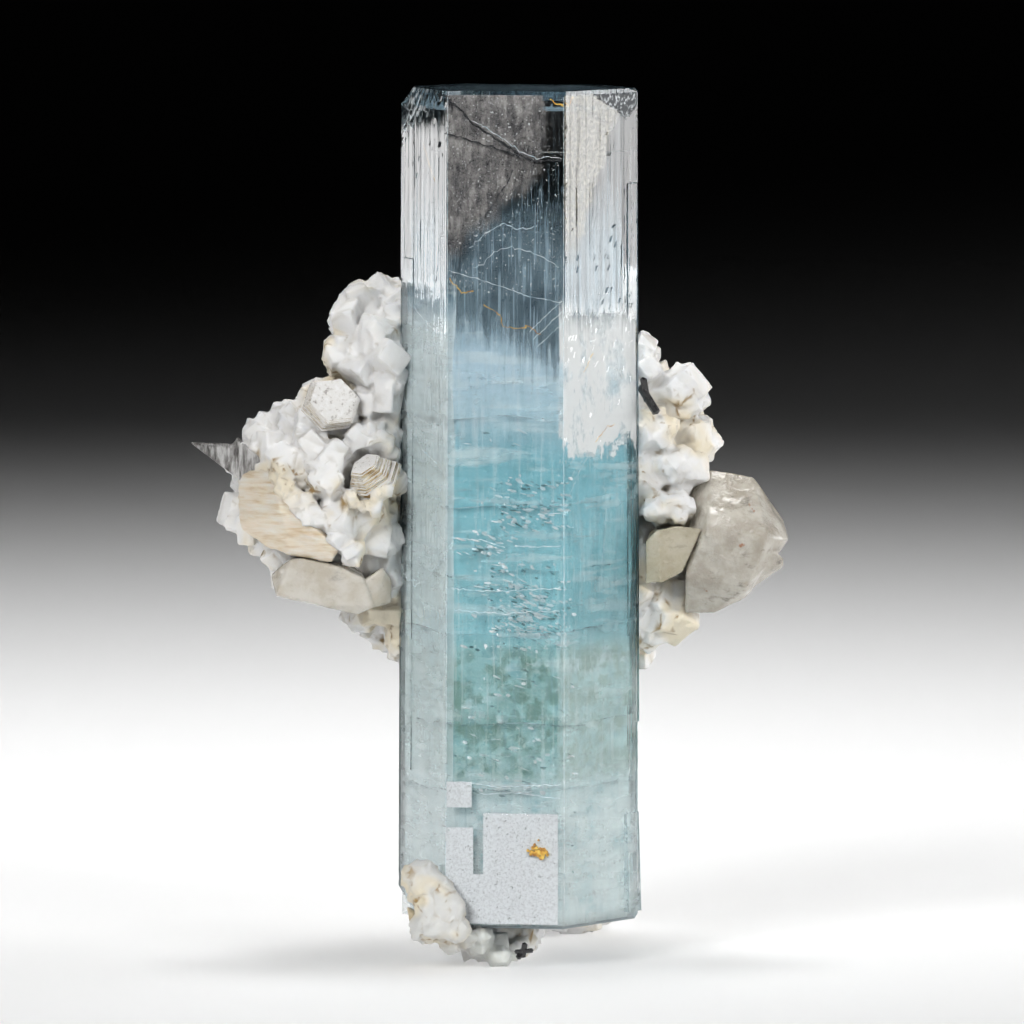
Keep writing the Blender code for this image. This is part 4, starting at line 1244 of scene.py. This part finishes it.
def mica_book(name, node, centre, normal, radius, thickness, sheets, turn, stretch, taper, material, seed):
    """A book of many thin sheets with ragged six-sided outlines."""
    pick = random.Random(seed)
    up = Vector(normal).normalized()
    side = up.cross(Vector((0, 1, 0.001))).normalized()
    side.rotate(Matrix.Rotation(math.radians(turn), 3, up))
    other = up.cross(side)
    points, faces = [], []
    corners = 24
    sixth = math.pi / 3
    for sheet in range(sheets):
        low = thickness * (sheet / sheets - 0.5)
        high = low + thickness / sheets * 0.80
        size = radius * (1.0 - taper * sheet / sheets - pick.uniform(0.0, 0.08))
        shift = side * pick.gauss(0, 0.02) * radius + other * pick.gauss(0, 0.02) * radius
        outline = []
        for corner in range(corners):
            angle = math.tau * corner / corners
            sector = (angle + sixth / 2) % sixth - sixth / 2
            reach = size * math.cos(sixth / 2) / math.cos(sector) * pick.uniform(0.982, 1.0)
            outline.append(side * math.cos(angle) * reach * stretch + other * math.sin(angle) * reach)
        faces += slab_faces(len(points), corners)
        middle = Vector(centre) + shift
        for height in (low, high):
            points += [place(*(middle + flat + up * height)) for flat in outline]
    return finish_piece(mesh_object(name, points, faces), material, "mica", node)


def mica_material(name, normal, dark):
    """Pearly sheets whose edges are stained gold and brown; dark is how speckled they are."""
    recipe = Recipe(name, Roughness=0.25, IOR=1.6, Coat_Weight=0.6, Coat_Roughness=0.12)
    front = recipe.facing(normal, 0.5, 0.9)
    back = recipe.facing([-part for part in normal], 0.5, 0.9)
    edge = recipe.minus(1.0, recipe.most(front, back))
    speckle = recipe.noise(1.5, 5.0, 0.7)
    patch = recipe.noise(0.5, 4.0, 0.6)
    face = recipe.ramp(speckle, [
        (0.30 + dark, (0.34, 0.31, 0.28)), (0.42 + dark, (0.78, 0.76, 0.73)), (0.65, (0.93, 0.92, 0.91)),
    ])
    rim = recipe.ramp(patch, [
        (0.40, (0.90, 0.88, 0.84)), (0.52, (0.78, 0.66, 0.44)), (0.60, (0.40, 0.26, 0.10)),
    ])
    recipe.set(
        Base_Color=recipe.mix(edge, face, rim),
        Roughness=recipe.between(speckle, 0.3, 0.7, 0.4, 0.15),
        Normal=recipe.bump(speckle, 0.05, 0.6),
    )
    return recipe.material


def make_wing(material, sheets=26):
    """A wing of thin sheets, each a little longer than the one under it, with a ragged tip."""
    pick = random.Random(14)
    along, up = Vector((0.80, 0.0, -0.60)), Vector((0.60, -0.05, 0.80)).normalized()
    side = up.cross(along)
    tip, end, thick = Vector((-40.9, 2.2, 64.9)), 8.5, 3.7
    points, faces = [], []
    for sheet in range(sheets):
        share = sheet / (sheets - 1)
        start = 5.3 * share + pick.uniform(0, 0.30)
        depth = 3.2 - 0.5 * (1 - share)
        outline = [
            (start, -0.25), (start + 0.5, -0.45), (end / 2, -0.52), (end, -0.5),
            (end, 0.5), (end / 2, 0.5), (start + 0.6, 0.42), (start + 0.1, 0.2),
        ]
        faces += slab_faces(len(points), len(outline))
        for height in (0.0, thick / sheets * 0.86):
            for reach, aside in outline:
                spot = tip + up * (thick * share + height - 0.14) + along * reach + side * aside * depth
                points.append(place(*spot))
    return finish_piece(mesh_object("mica_wing_sheets", points, faces), material, "mica", "mica_wing")


def wing_material():
    """Silver sheets with dark slanting streaks."""
    recipe = Recipe("wing_mica", Roughness=0.22, IOR=1.6, Transmission_Weight=0.2)
    streaks = recipe.noise(1.5, 4.0, 0.7, stretch=(1.0, 1.0, 0.22), turn=(0, -42, 0))
    colour = recipe.ramp(streaks, [
        (0.36, (0.07, 0.065, 0.06)), (0.47, (0.34, 0.33, 0.32)), (0.62, (0.74, 0.73, 0.72)),
    ])
    recipe.set(Base_Color=colour, Normal=recipe.bump(streaks, 0.08, 0.6))
    return recipe.material


def tourmaline_material():
    recipe = Recipe("black_tourmaline", Roughness=0.16, IOR=1.64)
    lines = recipe.noise(3.0, 3.0, 0.5, stretch=(1.0, 1.0, 0.2))
    recipe.set(
        Base_Color=recipe.ramp(lines, [(0.3, (0.004, 0.004, 0.005)), (0.7, (0.03, 0.028, 0.03))]),
        Roughness=recipe.between(lines, 0.3, 0.7, 0.1, 0.3),
        Normal=recipe.bump(lines, 0.05, 0.8),
    )
    return recipe.material


# Bench light, floor and camera.


FLOOR_HALF = 8.0  # metres
FLOOR_DROP = 0.00002
LENS = 386.7
TILT = math.radians(4.5)  # how far the camera looks down
CAMERA_DISTANCE = 1.375


def soft_light(name, where, towards, width, height, radiance, spread):
    """A soft box, in metres; its radiance is what it shows straight ahead."""
    light = bpy.data.lights.new(name, "AREA")
    light.shape = "RECTANGLE"
    light.size, light.size_y = width, height
    half = math.radians(spread) / 2
    focus = (math.tan(half) - half) / math.tan(half)
    light.energy = radiance * math.pi * width * height * focus
    light.spread = 2 * half
    made = bpy.data.objects.new(name, light)
    bpy.context.scene.collection.objects.link(made)
    made.location = where
    made.visible_camera = False
    made.visible_transmission = False
    made.rotation_euler = (Vector(towards) - Vector(where)).to_track_quat("-Z", "Y").to_euler()
    return made


def around(azimuth, distance, height):
    """A point round the crystal; azimuth 0 is in front and 90 is on the right."""
    turn = math.radians(azimuth)
    return AXIS + Vector((math.sin(turn) * distance, -math.cos(turn) * distance, height))


def make_stage():
    """The floor, the dark room and the lights."""
    rim = [(x * FLOOR_HALF, y * FLOOR_HALF, -FLOOR_DROP) for x, y in ((-1, -1), (1, -1), (1, 1), (-1, 1))]
    floor = mesh_object("floor", rim, [(0, 1, 2, 3)])
    recipe = Recipe("pale_floor", Base_Color=(0.82, 0.82, 0.82, 1.0), Roughness=0.7, Specular_IOR_Level=0.2)
    floor.data.materials.append(recipe.material)
    world = bpy.data.worlds.new("dark_room")
    bpy.context.scene.world = world
    world.use_nodes = True
    world.node_tree.nodes["Background"].inputs["Color"].default_value = (0.0006, 0.0006, 0.0006, 1.0)
    above, below = place(0, 220, 1000), place(0, 220, 0)
    soft_light("top_light", above, below, 0.34, 0.34, 17.0, 64)
    # A second light from there reaches the floor alone, so the shadows on it stay faint.
    pool = soft_light("floor_light", above, below, 0.34, 0.34, 20.0, 64)
    lit = bpy.data.collections.new("lit_by_floor_light")
    lit.objects.link(floor)
    pool.light_linking.receiver_collection = lit
    pool.light_linking.blocker_collection = lit
    # Cards at the sides are seen as reflections in the upper part of the side faces.
    for name, azimuth, distance, height, wide, tall, radiance in (
        ("right_light", 105, 0.42, 0.214, 0.34, 0.314, 7.0),
        ("back_left_light", -135, 0.45, 0.069, 0.30, 0.036, 4.2),
    ):
        where = around(azimuth, distance, height)
        soft_light(name, where, AXIS + Vector((0, 0, where.z)), wide, tall, radiance, 80)
    soft_light("front_light", around(-30, 1.1, 0.65), place(0, 5, 55), 0.5, 0.5, 20.0, 40)
    soft_light("fill_light", around(42, 1.1, 0.45), place(0, 5, 50), 0.5, 0.5, 12.0, 36)


def make_camera():
    camera = bpy.data.cameras.new("photo_view")
    camera.sensor_width = 36.0
    camera.lens = LENS
    camera.clip_start = 0.05
    camera.clip_end = 60.0
    made = bpy.data.objects.new("photo_view", camera)
    bpy.context.scene.collection.objects.link(made)
    made.location = place(-0.875, 0, 56.2) + Vector((0, -math.cos(TILT), math.sin(TILT))) * CAMERA_DISTANCE
    made.rotation_euler = (math.radians(90) - TILT, 0, 0)
    bpy.context.scene.camera = made


def limit_light_paths():
    scene = bpy.context.scene
    scene.view_settings.view_transform = "Standard"
    scene.view_settings.look = "None"
    for name, value in (
        ("adaptive_threshold", 0.1), ("adaptive_min_samples", 12), ("max_bounces", 8), ("diffuse_bounces", 2),
        ("transparent_max_bounces", 16), ("transmission_bounces", 8), ("caustics_reflective", False),
    ):
        setattr(scene.cycles, name, value)


def speckled(name, scale, detail, roughness, stops, **sockets):
    """A material with the colours of a ramp over fine noise."""
    recipe = Recipe(name, **sockets)
    recipe.set(Base_Color=recipe.ramp(recipe.noise(scale, detail, roughness), stops))
    return recipe.material


def satin_material():
    """Pale satin, pitted here and there."""
    recipe = Recipe("plate_satin", Base_Color=(0.80, 0.83, 0.85, 1.0), Roughness=0.4)
    grain = recipe.between(recipe.noise(3.2, 6.0, 0.8), 0.32, 0.58, 0.55, 0.92)
    pits = recipe.between(recipe.noise(1.7, 3.0, 0.6), 0.64, 0.69, 1.0, 0.25)
    recipe.set(Alpha=recipe.times(pits, grain))
    return recipe.material


def make_inside():
    """All that lies inside the aquamarine or on its faces."""
    zone_shell("milky_zone_outer", 0.45, 5.56, 107.0, milk_material("milk_outer", 0.42, 0.0, 0.0), 0.15)
    zone_shell("milky_zone_core", 1.7, 5.6, 106.4, milk_material("milk_core", 1.0, 50.0, 1.0), 0.5)
    plate_sheets(satin_material())
    dust_film("grey_dust_film", FRONT, 1.0, dust_material())
    dust_film("cream_dust_film", RIGHT, 0.3, cream_dust_material())
    dust_film("broken_corner_skin", RIGHT, -0.04, broken_corner_material())
    zone_shell("slate_depth", 2.6, 62.0, 106.8, slate_material(), 0.3)
    black = Recipe("crack_black", Base_Color=(0.012, 0.014, 0.018, 1.0), Roughness=0.5)
    black.set(Alpha=black.between(black.noise(1.5, 3.0, 0.6), 0.3, 0.5, 0.6, 1.0))
    line_piece("dark_cracks", DARK_CRACKS, black.material, 1)
    # Pale cracks, with painted highlight lines along the front face's edges and beside a dark crack.
    white = [(0.35, (0.55, 0.72, 0.80)), (0.6, (0.98, 1.0, 1.0))]
    line_piece("pale_cracks", PALE_CRACKS_AND_HIGHLIGHTS, speckled("crack_and_highlight_white", 1.1, 3.0, 0.6, white, Roughness=0.4), 2)
    rusty = [(0.35, (0.22, 0.06, 0.02)), (0.5, (0.66, 0.36, 0.05)), (0.65, (0.90, 0.66, 0.16))]
    gold = speckled("iron_stain", 1.4, 4.0, 0.6, rusty, Roughness=0.6)
    line_piece("gold_stains", GOLD_STAINS, gold, 3)
    stain_patch("foot_stain", gold, FRONT, 4.2, 15.0, 1.25, 4)
    bright = [(0.4, (0.86, 0.96, 1.0)), (0.6, (1.0, 1.0, 1.0))]
    glint = speckled("flake_glint", 1.3, 2.0, 0.5, bright, Roughness=0.12, IOR=1.8)
    flake_scatter("bright_flakes", band_spots(1.0, 5), glint, 0.46, 4)
    dark = [(0.4, (0.05, 0.14, 0.16)), (0.6, (0.14, 0.28, 0.28))]
    dull = speckled("flake_shade", 1.3, 2.0, 0.5, dark, Roughness=0.4)
    flake_scatter("dark_flakes", band_spots(0.5, 9), dull, 0.34, 7)
    veil = veil_material()
    for number, level in enumerate((69.0, 58.0, 50.0, 42.4, 31.0, 22.8)):
        level_crack(f"level_crack_{number}", level, veil, number + 3)


def make_stones():
    """The quartz crystals and the feldspar."""
    ridges = (Vector((0.25, 0.1, 0.95)).normalized(), 2.3, 0.05)
    cleavage = (Vector((0.5, 0.1, 0.86)).normalized(), 0.9, 0.10)
    grey = quartz_material("grey_quartz", (0.54, 0.49, 0.41), (0.76, 0.72, 0.64), 0.34)
    olive = quartz_material("olive_quartz", (0.47, 0.42, 0.30), (0.62, 0.57, 0.45))
    beige = quartz_material("beige_quartz", (0.62, 0.56, 0.46), (0.76, 0.72, 0.65))
    tan = quartz_material("tan_quartz", (0.52, 0.40, 0.24), (0.70, 0.58, 0.38))
    weathered("quartz_right", "quartz_right_stone", 0.22, 1, 0.07, 0.5, grey, "quartz", ridges)
    weathered("quartz_right_inner", "quartz_inner_stone", 0.22, 1, 0.07, 0.6, olive, "quartz")
    weathered("quartz_left", "quartz_left_stone", 0.22, 1, 0.07, 0.5, beige, "quartz")
    weathered("smoky_quartz", "smoky_quartz_stone", 0.25, 3, 0.08, 0.8, tan, "smoky_quartz")
    cream = feldspar_material()
    weathered("feldspar_left", "feldspar_stone", 0.3, 4, 0.10, 0.5, cream, "feldspar", cleavage)


def make_micas():
    mica_book(
        "mica_upper", "mica_book_upper", (-23.3, -1.6, 69.9), UPPER_BOOK_UP, 3.6, 2.4, 16, 12.0, 1.08, 0.12,
        mica_material("silver_mica", UPPER_BOOK_UP, 0.02), 4,
    )
    mica_book(
        "mica_lower", "mica_book_lower", (-18.6, -2.6, 61.2), LOWER_BOOK_UP, 3.9, 3.4, 18, 38.0, 1.15, 0.55,
        mica_material("gold_mica", LOWER_BOOK_UP, 0.0), 6,
    )
    make_wing(wing_material())


def main():
    make_camera()
    make_stage()
    limit_light_paths()
    make_aquamarine(aquamarine_material())
    make_inside()
    make_albite(albite_material())
    make_stones()
    make_micas()
    black = tourmaline_material()
    for node in ("tourmaline_right", "tourmaline_base"):
        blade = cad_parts[node]
        blade.data.materials.clear()
        blade.data.materials.append(black)


main()
